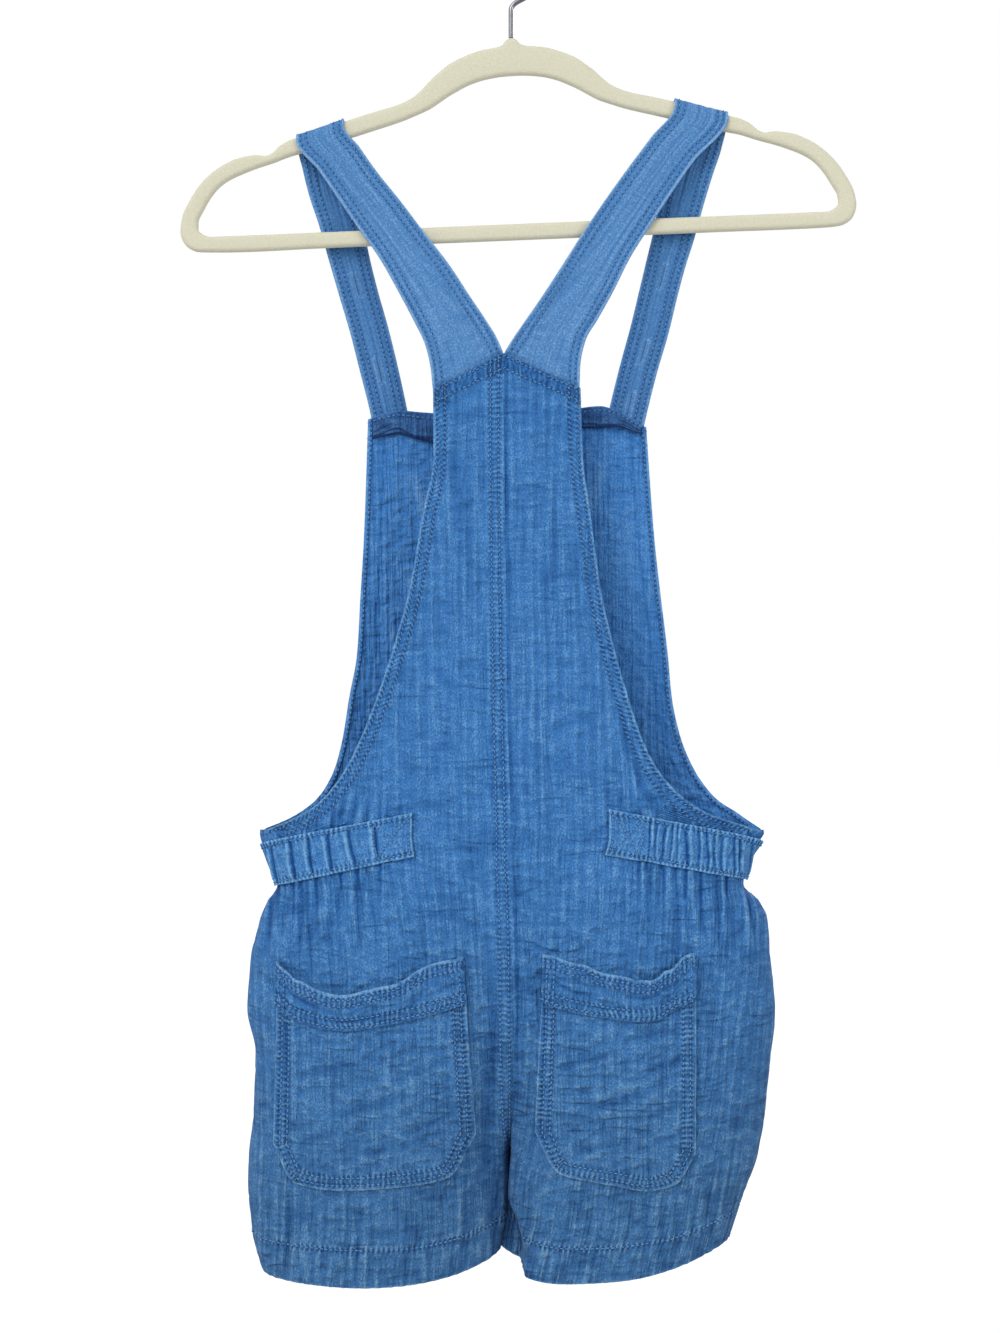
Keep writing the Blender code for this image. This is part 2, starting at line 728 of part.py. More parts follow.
def hanger_hook():
    path = hook_path()
    along = np.gradient(path, axis=0)
    along /= np.linalg.norm(along, axis=1, keepdims=True)
    rings = []
    for (x, drop), (ax, ad) in zip(path, along):
        ring = []
        for angle in np.radians(np.arange(0, 360, 36)):
            side = WIRE_RADIUS * math.cos(angle)
            ring.append((x - ad * side, WIRE_RADIUS * math.sin(angle), -(drop + ax * side)))
        rings.append(ring)
    closed_tube("hanger_hook", np.array(rings), "chrome")


def strap_sections(strap, columns):
    """Places (x, drop) across a strap, from its arm edge to its neck edge, at each of its sections."""
    arm = np.stack([strap["arm_x"], strap["arm_drop"]], axis=-1)[:, None]
    neck = np.stack([strap["neck_x"], strap["neck_drop"]], axis=-1)[:, None]
    return arm + (neck - arm) * np.linspace(0, 1, columns)[:, None]


def eased_onto(face, place, panel_top, lap):
    """y of a strap that leaves the hanger and comes to lie on a panel."""
    x, drop = place[:, 0], place[:, 1]
    reach = np.clip((drop - STRAP_LEAVES_DROP) / (panel_top - STRAP_LEAVES_DROP), 0, 1)
    seat = cloth_at(face, x, np.maximum(drop, panel_top))[:, 1] + lap
    return sign_of(face) * STRAP_WRAP_RADIUS * (1 - reach) + seat * reach


def strap_rows(side, columns):
    """Rows of places (x, drop) and y along a strap, from the yoke over the hanger to its end on the bib."""
    rows = []
    for place in strap_sections(STRAP_BACK[side], columns):
        rows.append((place, eased_onto("back", place, YOKE_DROP, 0)))
    top_x = np.linspace(*STRAP_TOP[side], columns)
    for angle in np.radians([0, 30, 60, 90, 120, 150, 180]):
        drop = arm_top(top_x) + HANGER_HALF_WALL - STRAP_WRAP_RADIUS * math.sin(angle)
        y = np.full(columns, -STRAP_WRAP_RADIUS * math.cos(angle))
        rows.append((np.stack([top_x, drop], axis=-1), y))
    for place in strap_sections(STRAP_FRONT[side], columns):
        rows.append((place, eased_onto("front", place, float(BIB_TOP["drop"].min()), STRAP_LAP)))
    return np.array([np.stack([place[:, 0], y, -place[:, 1]], axis=-1) for place, y in rows])


def ribbon_normals(points):
    down = np.gradient(points, axis=0)
    across = np.gradient(points, axis=1)
    normals = np.cross(down, across)
    return normals / np.linalg.norm(normals, axis=-1, keepdims=True)


def strap(side):
    points = strap_rows(side, 4)
    normals = ribbon_normals(points)
    outer = points + normals * CLOTH / 2
    inner = points - normals * CLOTH / 2
    grid_wall(f"strap_{side}", kept_to_half(outer, side), kept_to_half(inner, side), "cloth")


def button_seat(side):
    """The place on the outside of a strap where its button sits, and the way it faces."""
    points = strap_rows(side, 3)
    normals = ribbon_normals(points)
    normals = normals * np.sign(normals[-1, 1, 1])
    front = len(STRAP_FRONT[side]["arm_x"])
    middle, facings = points[-front:, 1], normals[-front:, 1]
    place = [np.interp(BUTTON_DROP, -middle[:, 2], middle[:, k]) for k in range(3)]
    facing = np.array([np.interp(BUTTON_DROP, -middle[:, 2], facings[:, k]) for k in range(3)])
    facing /= np.linalg.norm(facing)
    return place + facing * (CLOTH / 2 + BUTTON_GAP), facing


def turned_profile(profile, segments):
    """Rings of a disc turned about Z, from (radius, height) points that start and end on the axis."""
    angles = np.linspace(0, 2 * math.pi, segments, endpoint=False)
    vertices = [(0, 0, profile[0][1])]
    for radius, height in profile[1:-1]:
        vertices += [(radius * math.cos(t), radius * math.sin(t), height) for t in angles]
    vertices.append((0, 0, profile[-1][1]))
    last = len(vertices) - 1
    faces = []
    for k in range(segments):
        n = (k + 1) % segments
        faces.append((0, 1 + n, 1 + k))
        for r in range(len(profile) - 3):
            a, b = 1 + r * segments, 1 + (r + 1) * segments
            faces.append((a + k, a + n, b + n, b + k))
        top = 1 + (len(profile) - 3) * segments
        faces.append((top + k, top + n, last))
    return vertices, faces


def button(side):
    """A rimmed button with four thread holes, flat on the end of its strap."""
    wall, radius = BUTTON_WALL, BUTTON_RADIUS
    floor = wall * 0.6
    profile = (
        (0, 0),
        (radius - 1.5, 0),
        (radius, wall * 0.3),
        (radius, wall * 0.8),
        (radius - 0.9, wall),
        (radius - 2.3, wall * 0.85),
        (radius - 3.3, floor),
        (0, floor),
    )
    vertices, faces = turned_profile(profile, 24)
    disc = as_object(f"button_{side}", vertices, faces, "button")
    place, facing = button_seat(side)
    disc.location = place * MM
    disc.rotation_euler = Vector(facing).to_track_quat("Z", "Y").to_euler()
    ring = arc((0, 0), THREAD_HOLE_RADIUS, 0, 315, 8)
    for k, quarter in enumerate((45, 135, 225, 315)):
        middle = arc((0, 0), THREAD_HOLE_SPREAD, quarter, quarter, 1)[0]
        ends = (-wall, 2 * wall)
        walls = [[(*(middle + point), height) for point in ring] for height in ends]
        cutter = closed_tube(f"thread_hole_{side}_{k}", np.array(walls), "button")
        cutter.hide_render = True
        cutter.display_type = "WIRE"
        cutter.parent = disc
        cut = disc.modifiers.new(f"hole_{k}", "BOOLEAN")
        cut.operation = "DIFFERENCE"
        cut.solver = "EXACT"
        cut.object = cutter


def build():
    clear_scene()
    hanger_body()
    hanger_hook()
    bib_facing()
    for side in ("left", "right"):
        panel("back", side)
        panel("front", side)
        strap(side)
        waist_tab(side)
        pocket(side)
        button(side)


build()
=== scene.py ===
"""Looks of a short overalls romper in crinkled double gauze, hanging from a slim flocked hanger.

Each piece of cloth is a fine thin shell on the form of its solid, with its folds, its crinkle, its
doubled edges and its stitching. Lengths are in millimetres until a mesh is made, and heights are
given as a drop below the place where the hook rests on its rail. +Y points from the back to the bib.
"""

import json
import math

import bpy
import numpy as np
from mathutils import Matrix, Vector
from mathutils.bvhtree import BVHTree

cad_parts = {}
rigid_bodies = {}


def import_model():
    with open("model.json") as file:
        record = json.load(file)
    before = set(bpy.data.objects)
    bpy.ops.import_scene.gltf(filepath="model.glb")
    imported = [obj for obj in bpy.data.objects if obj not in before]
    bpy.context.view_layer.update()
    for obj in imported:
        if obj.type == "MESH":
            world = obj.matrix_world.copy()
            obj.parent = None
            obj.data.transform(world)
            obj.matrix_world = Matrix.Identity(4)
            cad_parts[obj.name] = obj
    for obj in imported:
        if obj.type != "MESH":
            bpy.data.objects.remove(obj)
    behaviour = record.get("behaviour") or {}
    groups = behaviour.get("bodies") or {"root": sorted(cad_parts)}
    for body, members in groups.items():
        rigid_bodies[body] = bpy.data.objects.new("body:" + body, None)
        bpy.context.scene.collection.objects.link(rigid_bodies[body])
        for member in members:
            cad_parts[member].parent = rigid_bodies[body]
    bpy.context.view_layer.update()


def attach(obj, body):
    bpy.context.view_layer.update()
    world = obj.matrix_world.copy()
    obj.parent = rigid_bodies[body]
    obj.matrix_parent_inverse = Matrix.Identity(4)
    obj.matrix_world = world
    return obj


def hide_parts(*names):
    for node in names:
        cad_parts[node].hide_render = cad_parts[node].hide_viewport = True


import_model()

MM = 0.001

# Driving dimensions, in millimetres, one for each side where the two sides differ.
SHELL = 1.2  # one piece of double gauze
FAR = 1e3  # further off than any edge
BEHIND = -0.3  # behind the whole garment, in metres
GAP = 0.3
LAP = 1.8  # from the middle of one layer to the middle of the next
PATCH_LAP = LAP + 0.4
HEM_DEPTH = 23.0
HEM_WALL = 2.6
HEM_GATHERS = {"left": (0.15, 0.35), "right": (0.5, 0.6)}  # how strong on the leg, and above the hem
CROTCH_DROP = 800.0
INSEAM_DROP = 862.0
INSEAM_SPREAD = 0.1
RECESS = {"left": 0.0, "right": 17.5}
RECESS_FROM = 815.0
RECESS_TURN = 3.5
SIDE_ROUNDNESS = 2.5
INNER_ROUNDNESS = {"left": 2.1, "right": 5.0}
BIB_TOP_DROP = 311.0
BIB_EVEN_DROP = 370.0
YOKE_DROP = 272.3
SIDE_TOP_DROP = 587.0
FACING_DEPTH = 15.0
FACING_ENDS = (-92.5, 87.0)
FACING_INSET = 0.8
POCKET_SAG = 2.5
GATHER_REACH = 100.0  # from a tab's inner end to the side seam
GATHER_PITCHES = (5.2, 8.3)  # of the fine ribs below a tab, and of the broad ones under them
STITCH_PITCH = 3.3
HANGER_NECK_DROP = 62.0
HANGER_TILT = math.radians(2.35)
HANGER_HALF_WALL = 3.0
HANGER_HALF_SPAN = 224.0
ARM_LIFT = 2.6
ARM_FOOT = (90.0, 120.0)
WIRE_RADIUS = 1.65
HOOK_RADIUS = 18.0
STRAP_WRAP_RADIUS = HANGER_HALF_WALL + GAP + 0.9
STRAP_LEAVES_DROP = 132.0
STRAP_LAP = LAP + 0.2

# The gauze's own crinkle.
RIB_PITCH = 7.5
RIB_HEIGHT = 0.3
CROSS_PITCH = 9.0  # half of the mean distance between the creases that cross the ribs
CROSS_DEPTH = 0.45

# How strongly each piece is crinkled, and the seed of its crinkle.
CRINKLES = {
    "back": (1.0, 11),
    "front": (0.6, 23),
    "pocket_left": (0.9, 31),
    "pocket_right": (0.9, 37),
    "pocket_band": (0.8, 41),
    "waist_tab": (0.45, 53),
    "bib_facing": (0.5, 61),
    "strap_left": (0.55, 71),
    "strap_right": (0.55, 73),
}

# The pitch of the ripples that sewing leaves in the cloth, and of the ribs down a strap.
ARMHOLE_RIPPLE = 5.4
HEM_RIPPLE = 4.6
TAB_RIPPLE = 2.9
STRAP_RIB = 2.6

# How each edge is sewn. rows are where its rows of stitching run, from the edge inwards, and rungs
# are where the puckers across them start and end. lip is how far the rolled edge reaches, rise how
# high the doubled cloth stands, slant how far the puckers lean, and ladder how strong they are.
BANDS = {
    "back_edge": {"rows": (2.6, 7.8), "lip": 1.9, "slant": 0.7, "ladder": 1.3},
    "back_top": {"rows": (2.0, 10.0), "rise": 0.5, "ladder": 1.8},
    "front_edge": {"rows": (2.6, 10.5), "lip": 1.6, "ladder": 0.25},
    "front_top": {"rows": (2.6, 12.5), "ladder": 0.25},
    "centre": {"rows": (3.3, 8.6), "rungs": (2.6, 9.4), "ladder": 1.4},
    "pocket": {"rows": (3.4, 8.0), "rungs": (2.0, 9.0), "rise": 0.3, "ladder": 1.9},
    "pocket_top": {"rows": (3.6, 7.6), "rungs": (2.6, 8.6), "rise": 0.3, "ladder": 2.0},
    "pocket_band": {"rows": (2.4, 7.4), "rungs": (1.6, 8.2), "rise": 0.3, "ladder": 2.0},
    "tab": {"rows": (2.6,), "rungs": (0.8, 4.8), "rise": 0.0, "ladder": 1.9},
    "strap_arm": {"rows": (3.2, 7.2), "rungs": (2.6, 7.8), "lip": 2.0, "rise": 0.3, "ladder": 0.3},
    "strap_neck": {"rows": (3.2, 7.2), "rungs": (2.6, 7.8), "lip": 1.2, "rise": 0.3, "ladder": 0.3},
    "strap_end": {"rows": (3.2, 7.2), "rungs": (2.6, 7.8), "lip": 1.4, "rise": 0.0, "ladder": 0.3},
}
TAB_END_ROW = 2.2
YOKE_UNDER = 5.0  # how far a strap runs under the panel at the yoke
BUTTONHOLES = {"left": (224.0, 280.0), "right": (218.5, 268.0, 303.0)}
HOLE_REACH = 7.5  # from the middle of a buttonhole to its end
# How long a stitch is, how far it rises and the radius of its thread, sewn and in a buttonhole.
STITCH_SIZES = ("Stitch length", "Stitch rise", "Thread radius")
SEWN_STITCH = (1.7, 0.6, 0.42)
WORKED_STITCH = (2.2, 0.45, 0.3)
NEEDLE_HOLE = 0.88  # the radius of the painted shade in the holes that a needle leaves
FINE_HOLE = 0.62  # the same in the straps and the tabs

# How far apart the cloth's points lie, from an edge inwards.
EDGE_STEPS = (0, 0.15, 0.4, 0.8, 1.3, 1.9, 2.6, 3.4, 4.3, 5.2, 6.1, 7.0, 7.8, 8.6, 9.6, 10.8, 12.2)
CENTRE_STEPS = (0, 0.2, 0.5, 1.0, 1.6, 2.4, 3.3, 4.3, 5.3, 6.4, 7.5, 8.6, 9.7, 11, 12.5)
TOP_STEPS = (0, 0.15, 0.4, 0.8, 1.4, 2.2, 3.2, 4.4, 5.8, 7.2, 8.6, 10, 11.4, 13)
HEM_STEPS = (0, 0.15, 0.4, 0.8, 1.6, 3, 5, 7, 9, 11, 13, 15, 17, 19, 20.6, 22, 23, 24, 25.4, 27)
STRAP_STEPS = (0, 0.15, 0.4, 0.8, 1.5, 2.3, 3.2, 4.1, 5.2, 6.3, 7.2, 8.1, 9.2)
POCKET_STEPS = (0, 0.0015, 0.004, 0.009, 0.018)  # as shares of its width or length
ROW_STEP = {"back": 1.75, "front": 2.6}
FACE_SHIFT = {"back": 0.0, "front": 517.0}  # so that the two faces' crinkle isn't the same
MIDDLE_COLUMNS = {"back": 84, "front": 40}

# The buttons.
BUTTON_DROP = 331.0
BUTTON_WALL = 2.8
THREAD_HOLE_RADIUS = 0.9
THREAD_HOLE_SPREAD = 2.2
# The section, as (radius, height), from the middle of the back round to the middle of the dish.
BUTTON_PROFILE = (
    (0.05, 0),
    (6.6, 0),
    (7.4, 0.25),
    (8.1, 0.8),
    (8.5, 1.5),
    (8.45, 2.1),
    (8.1, 2.6),
    (7.6, 2.8),
    (7.0, 2.75),
    (6.4, 2.45),
    (5.8, 2.0),
    (5.2, 1.72),
    (4.2, 1.65),
    (0.05, 1.65),
)

# The studio, in metres.
CAMERA_PLACE = (-0.0073, -1.2, -0.4784)
CAMERA_LENS = 48.9
FLOOR_Z = -1.25
FLOOR_REACH = 12.0
FLOOR_GLOW = 0.42
WORLD_FILL = 0.5
# Soft lamps, far off: where each shines from, how wide it looks in degrees, and its strength.
LAMPS = (
    ("key", (-0.95, -1.4, 1.2), 34, 1.55),
    ("left", (-1.6, -0.6, 0.2), 30, 0.35),
    ("right", (1.5, -1.3, 0.2), 30, 0.8),
    ("rear", (0.8, 1.6, 0.9), 30, 1.5),
)

# Unevenness in the gauze: how many times a metre across and down the cloth, and the noise's detail.
GAUZE_NOISES = {
    "grain": ((900, 760, 1), 1.0),
    "streaks": ((620, 60, 1), 1.0),
    "weft": ((60, 420, 1), 1.0),
    "mottle": ((24, 20, 1), 2.0),
    "ribs": ((430, 9, 1), 0.3),
    "gathers": ((400, 18, 1), 0.5),
    "puffs": ((120, 175, 1), 0.9),
    "creases": ((24, 115, 1), 0.8),
    "wales": ((300, 22, 1), 0.4),
    "broken": ((34, 40, 1), 1.0),
}


def broken_lines(name, half_width, none, full):
    """The steps that make a noise into thin lines where it passes its middle, that come and go."""
    return (
        (name + " off", "SUBTRACT", name, 0.5),
        (name + " away", "ABSOLUTE", name + " off", 0.0),
        (name + " line", "SMOOTHSTEP", name + " away", (0.0, half_width, 1.0, 0.0)),
        (name + " here", "SMOOTHSTEP", "broken", (none, full, 0.0, 1.0)),
        (name + " shown", "MULTIPLY", name + " line", name + " here"),
        (name, "MULTIPLY", name + " shown", "lower"),
    )


# How the rest is worked out from these and from the cloth's own marks, in the way that worked_out
# tells. Most of the crinkle is in the lower half of the cloth.
GAUZE_STEPS = (
    *broken_lines("creases", 0.1, 0.38, 0.7),
    *broken_lines("wales", 0.07, 0.25, 0.5),
    ("puffs off", "SUBTRACT", "puffs", 0.5),
    ("waffle", "MULTIPLY", "puffs off", "lower"),
    ("gathers off", "SUBTRACT", "gathers", 0.5),
    ("gathers", "MULTIPLY", "gathers off", "drawn"),
    ("turns", "MULTIPLY", "run", 2 * math.pi / (STITCH_PITCH * MM)),
    ("wave", "SINE", "turns", 0.0),
    ("uneven", "LINEAR", "puffs", (0.15, 0.5, 0.0, 1.0)),
    ("worn", "MULTIPLY", "band", "uneven"),
    ("puckers", "MULTIPLY", "wave", "worn"),
    # The colour turns greyer and darker towards the bottom.
    ("greyer_below", "LINEAR", "down", (0.6, 0.82, 0.0, 1.0)),
)
# How much each counts in the cloth's shade, from deep at 0 to pale at 1. ribs, waffle, gathers,
# creases, wales, puckers and relief paint the light and shade of the cloth's relief into its
# colour; wear is partly wear and partly painted light; grain, streaks, weft and mottle are the
# yarn's own unevenness.
GAUZE_SHADE = {
    "grain": 0.68,
    "streaks": 0.08,
    "weft": 0.15,
    "mottle": 0.05,
    "ribs": 0.2,
    "waffle": 0.4,
    "gathers": 0.8,
    "creases": -0.17,
    "wales": -0.12,
    "relief": 0.24,
    "wear": 0.30,
    "puckers": 0.22,
}
SHADE_START = -0.075
# How much each counts in the cloth's height, in millimetres.
GAUZE_HEIGHT = {
    "grain": 0.22,
    "streaks": 0.16,
    "ribs": 1.2,
    "waffle": 4.2,
    "gathers": 3.4,
    "creases": -0.8,
    "wales": -0.45,
    "puckers": 0.4,
}


def table(columns, *rows):
    """The named columns of a table, each as an array."""
    return dict(zip(columns.split(), np.array(rows, float).T))


def tables(columns, **rows):
    """Several tables with the same columns."""
    return {name: table(columns, *rows[name]) for name in rows}


# Both halves of the body, level by level. left and right are the side seams, centre is the centre
# seams; back and front say how far the cloth stands out at its fullest, back_mid and front_mid how
# far it does so at the centre seams, and left_y and right_y where the side seams lie.
BODY = table(
    "drop left right centre back back_mid front front_mid left_y right_y",
    (260, -135, 130, -5, 8, 8, 11, 11, 0, 0),
    (330, -140, 136, -5, 13, 13, 15, 15, 0, 0),
    (420, -148, 146, -4, 20, 20, 20, 20, 0, 0),
    (500, -156, 156, -3, 26, 26, 25, 25, 0, 0),
    (587, -165.5, 167, -1, 33, 33, 31, 31, 0, 0),
    (604, -160, 157.5, -1, 34, 34, 32, 32, 0, 0),
    (623, -154, 153.5, 0, 36, 35, 33, 33, 0, 0),
    (634, -160.5, 164, 0.5, 39, 37, 34.5, 34, 0, 0),
    (648, -166, 169.5, 1, 41.5, 39.5, 36.5, 35.5, 0, 0),
    (672, -171.5, 171, 1.5, 45, 42, 40, 37, 0, 0),
    (704, -173.5, 174, 1.5, 47, 42, 42, 37, 0, 0),
    (733, -168, 171, 1.5, 48, 37, 42, 33, -1, 0),
    (757, -168.5, 168.5, 1, 48, 29, 42, 26, -2, 0),
    (779, -169.5, 166, 0.5, 47.5, 19, 41.5, 17, -4, 0),
    (792, -171, 163.5, 0, 47, 9.5, 41, 8.5, -6, 0),
    (800, -171.5, 162, -0.5, 47, 0, 41, 0, -8, 0),
    (812, -171.5, 158, -1.5, 46.5, 0, 41, 0, -10, 0),
    (838, -169, 148, -3, 46, 0, 40.5, 0, -15, 0),
    (853, -165.5, 143.5, -5.5, 45, 0, 40, 0, -18, 0),
    (873, -159, 138, -8, 44, 0, 39, 0, -20, 0),
)

# Free edges from the straps down to the top of the side seams.
EDGE = tables(
    "drop left right",
    back=(
        (270, -51.5, 45),
        (340, -51, 47),
        (379, -58, 52),
        (428, -66.5, 58.5),
        (470, -78, 68),
        (500, -88, 76.5),
        (523, -97, 84),
        (542, -106, 93),
        (557, -116, 104.5),
        (569, -127.5, 119),
        (576, -139, 133),
        (581, -150, 149),
        (587, -165.5, 167),
    ),
    front=(
        (311, -95.5, 90),
        (390, -98.5, 96),
        (430, -101, 100.5),
        (470, -103.5, 105.5),
        (500, -109, 108.5),
        (525, -113, 114),
        (545, -118, 122),
        (560, -125, 131.5),
        (569, -132, 140),
        (576, -141, 151),
        (581, -150, 158),
        (587, -165.5, 167),
    ),
)

# Where a level that crosses the centre seam at one drop meets the left and the right edge.
LOWER_LEVELS = ((455, 460, 460), (575, 587, 587), (700, 704, 704), (800, 804, 796), (862, 868, 852))
LEVELS = tables(
    "centre left right",
    back=((YOKE_DROP, 296.5, 295.5), *LOWER_LEVELS),
    front=((BIB_TOP_DROP, 313, 318), *LOWER_LEVELS),
)
# How far each hem hangs below the line from side seam to inseam, and how squarely.
HEM_SAG = {"left": 7.0, "right": 14.5}
HEM_SQUARENESS = {"left": 2.2, "right": 3.2}
HEM_LEAN = 1.35  # over 1 where the hem hangs lowest towards the inseam
HEM_SAG_FROM = 700.0
# The bib's upper edge, drawn up where the straps are buttoned.
BIB_TOP = table(
    "x drop",
    (-95.5, 313),
    (-85, 309),
    (-74, 307),
    (-61, 308),
    (-5, 311),
    (38, 306.5),
    (60, 304),
    (73, 308),
    (81, 313),
    (90, 318),
)

# Folds that press the whole panel in, or out where the depth is below zero.
FOLDS = tables(
    "x drop end_x end_drop width depth",
    back=(
        (-15, 650, -20, 868, 9, 6),
        (11, 700, 9, 868, 10, 3),
        (-134, 618, -137, 700, 9, 3),
        (-97, 606, -96, 668, 9, 2),
        (106, 604, 107, 700, 9, 3),
        (130, 612, 136, 690, 9, 3),
        (-60, 800, -66, 872, 14, -2),
        (70, 806, 92, 868, 14, 2.5),
    ),
    front=(
        (-14, 690, -18, 868, 10, 4),
        (16, 700, 18, 868, 10, 4),
        (-118, 604, -122, 712, 10, 3),
        (112, 600, 118, 708, 10, 3),
        (-62, 640, -70, 800, 16, 2),
        (66, 650, 74, 810, 16, 2),
    ),
)

# Creases, narrower and sharper than the folds: below the drawn-up tabs, above them, between the
# legs and at the hems.
CREASES = tables(
    "x drop end_x end_drop width depth",
    back=(
        (-134.5, 612, -137.5, 680, 2.4, 1.5),
        (-98, 606, -96.5, 658, 2.2, 1.1),
        (-153.5, 618, -160, 670, 3, 1.0),
        (-119.5, 610, -124, 664, 3.4, -1.0),
        (-110, 608, -111, 642, 2, 0.7),
        (-145, 618, -148.5, 654, 2.4, 0.8),
        (-127, 612, -131, 690, 4, 0.6),
        (-88, 602, -86, 650, 3, 0.5),
        (-104, 606, -103, 648, 2.6, -0.6),
        (96, 598, 95.5, 634, 1.9, 0.9),
        (100.5, 598, 101, 637, 1.7, -0.6),
        (106, 600, 106, 674, 2.3, 1.5),
        (111.5, 602, 111.5, 650, 1.9, 0.8),
        (121.5, 606, 123.5, 650, 2.1, 1.0),
        (131.5, 608, 135, 664, 2.3, 1.2),
        (140, 612, 144, 658, 2.1, 0.9),
        (89, 598, 90, 656, 2.2, 0.6),
        (146.5, 614, 157, 668, 3, -0.9),
        (152, 618, 161, 660, 2, 0.6),
        (69.5, 503, 78.5, 541, 3, 1.0),
        (78.5, 538, 89, 567, 2.5, 1.1),
        (88.5, 558, 92.5, 577, 1.8, 1.2),
        (93, 561, 97.5, 580, 1.8, 1.2),
        (98.5, 564, 104, 582, 1.8, 1.2),
        (105, 567, 110.5, 584, 1.8, 1.1),
        (112, 570, 117, 586, 1.8, 1.0),
        (-90, 558, -95, 584, 2.2, 0.6),
        (-99, 559, -106.5, 588, 2.4, 1.0),
        (-106.5, 562, -116.5, 588, 2.4, 0.9),
        (-15, 650, -12.5, 846, 4, 1.7),
        (-11, 800, -10, 868, 3, 1.2),
        (-3, 776, -1.5, 812, 2, 0.9),
        (84, 806, 88, 872, 2.2, 0.7),
        (94, 812, 99, 868, 2.0, 0.8),
        (103, 806, 109, 864, 2.2, 0.8),
        (113, 812, 119, 860, 2.0, 0.7),
        (124, 800, 131, 856, 2.6, 0.9),
        (-28, 812, -30, 872, 2.4, 0.7),
        (-96, 816, -99, 876, 2.8, 0.6),
        (-118, 806, -121, 874, 2.4, 0.6),
        (-140, 812, -144, 872, 2.6, 0.7),
        (-40, 330, -24, 420, 5, 0.5),
        (34, 352, 22, 450, 5, 0.5),
        (-58, 470, -30, 500, 4, 0.5),
        (24, 520, 60, 508, 4, 0.5),
    ),
    front=(
        (-132, 600, -135, 690, 2.8, 1.2),
        (-112, 596, -113, 652, 2.4, 0.8),
        (-90, 602, -92, 700, 3.2, 0.7),
        (-64, 640, -68, 760, 4, 0.8),
        (-40, 600, -38, 660, 3, 0.5),
        (-14, 690, -12, 846, 4, 1.4),
        (15, 696, 13, 850, 4, 1.3),
        (42, 620, 44, 700, 3.4, 0.6),
        (66, 640, 72, 764, 4, 0.8),
        (92, 600, 93, 676, 3, 0.9),
        (114, 598, 117, 656, 2.4, 0.8),
        (136, 604, 140, 690, 3, 1.1),
        (-70, 340, -48, 410, 4, 0.7),
        (62, 338, 44, 404, 4, 0.7),
        (-30, 430, 6, 446, 4, 0.5),
        (20, 520, 58, 508, 4, 0.5),
        (-100, 812, -104, 872, 3, 0.7),
        (-46, 806, -48, 870, 3, 0.6),
        (58, 812, 61, 868, 3, 0.7),
        (108, 806, 114, 862, 2.6, 0.7),
    ),
)
POCKET_CREASES = tables(
    "x drop end_x end_drop width depth",
    left=(
        (-138, 742, -96, 730, 2.6, 0.8),
        (-118, 766, -70, 752, 3, 0.9),
        (-76, 741, -38, 728, 2.6, 0.8),
        (-104, 789, -56, 780, 2.6, 0.7),
        (-136, 782, -112, 774, 2.2, 0.6),
        (-66, 775, -36, 763, 2.4, 0.7),
        (-130, 720, -104, 716, 2.2, 0.5),
        (-92, 720, -60, 714, 2.4, 0.5),
        (-146, 700, -142, 760, 2.4, 0.6),
    ),
    right=(
        (30, 735, 66, 722, 2.6, 0.8),
        (48, 762, 92, 746, 3, 0.9),
        (80, 738, 112, 726, 2.6, 0.8),
        (34, 790, 78, 778, 2.6, 0.8),
        (82, 786, 110, 774, 2.2, 0.6),
        (26, 712, 52, 708, 2.2, 0.5),
        (88, 764, 114, 754, 2.2, 0.6),
        (72, 716, 100, 712, 2.2, 0.5),
    ),
)
FACING_CREASES = table(
    "x drop end_x end_drop width depth",
    (-94, 2, -78, 10, 2.2, 0.9),
    (-60, 6, -30, 11, 2.6, 0.7),
    (-8, 5, 22, 9, 2.6, 0.7),
    (40, 9, 66, 4, 2.4, 0.8),
)
# How much deeper than even the inside band's lower edge hangs.
FACING_BOWS = table(
    "x extra",
    (-93, -1),
    (-84, 0),
    (-74, 0),
    (-64, 2.5),
    (-53, 4.4),
    (0, 3),
    (47, -2),
    (60, -0.6),
    (73, -5.5),
    (80, -7.5),
    (87, -9),
)

# The gathers of each waist tab: each ridge's x at the tab's top and at its foot, and its width and
# height.
GATHERS = tables(
    "top foot width height",
    left=(
        (-91.5, -87.3, 2.8, 1.6),
        (-109.2, -102.1, 3.0, 1.9),
        (-122.6, -117.4, 3.2, 1.9),
        (-135.1, -130.5, 3.2, 1.8),
        (-147.0, -141.9, 3.4, 2.0),
        (-160.2, -154.0, 3.2, 1.6),
    ),
    right=(
        (91.6, 89.3, 1.8, 1.3),
        (95.9, 92.7, 1.5, 0.8),
        (102.2, 98.0, 2.2, 1.4),
        (105.6, 103.3, 1.5, 0.8),
        (109.4, 107.4, 1.6, 0.6),
        (115.6, 116.2, 3.2, 1.8),
        (123.4, 122.7, 2.0, 1.1),
        (128.5, 129.4, 2.2, 1.3),
        (132.9, 133.2, 2.0, 1.0),
        (138.9, 138.0, 3.0, 0.7),
        (146.9, 147.2, 2.6, 1.3),
        (151.1, 150.4, 3.0, 1.5),
        (160.0, 156.0, 2.6, 1.0),
    ),
)

# Patch pockets: one row for each station across, with the mouth, the band's foot and the bottom.
POCKETS = tables(
    "x foot_x mouth band bottom",
    left=(
        (-150, -151.5, 669, 697, 785),
        (-134, -137, 680, 706, 807),
        (-108, -110, 687, 711, 810.5),
        (-77, -76, 681, 706, 809),
        (-52, -42, 669.5, 699.5, 805),
        (-31, -24.5, 664, 693, 778),
    ),
    right=(
        (20, 16.5, 661, 692, 777),
        (35, 31, 666, 697, 802),
        (68, 66, 675, 703, 808.5),
        (86, 86, 677.5, 704.5, 812),
        (102, 104, 670, 698, 808),
        (117.5, 117, 661, 691, 789),
    ),
)

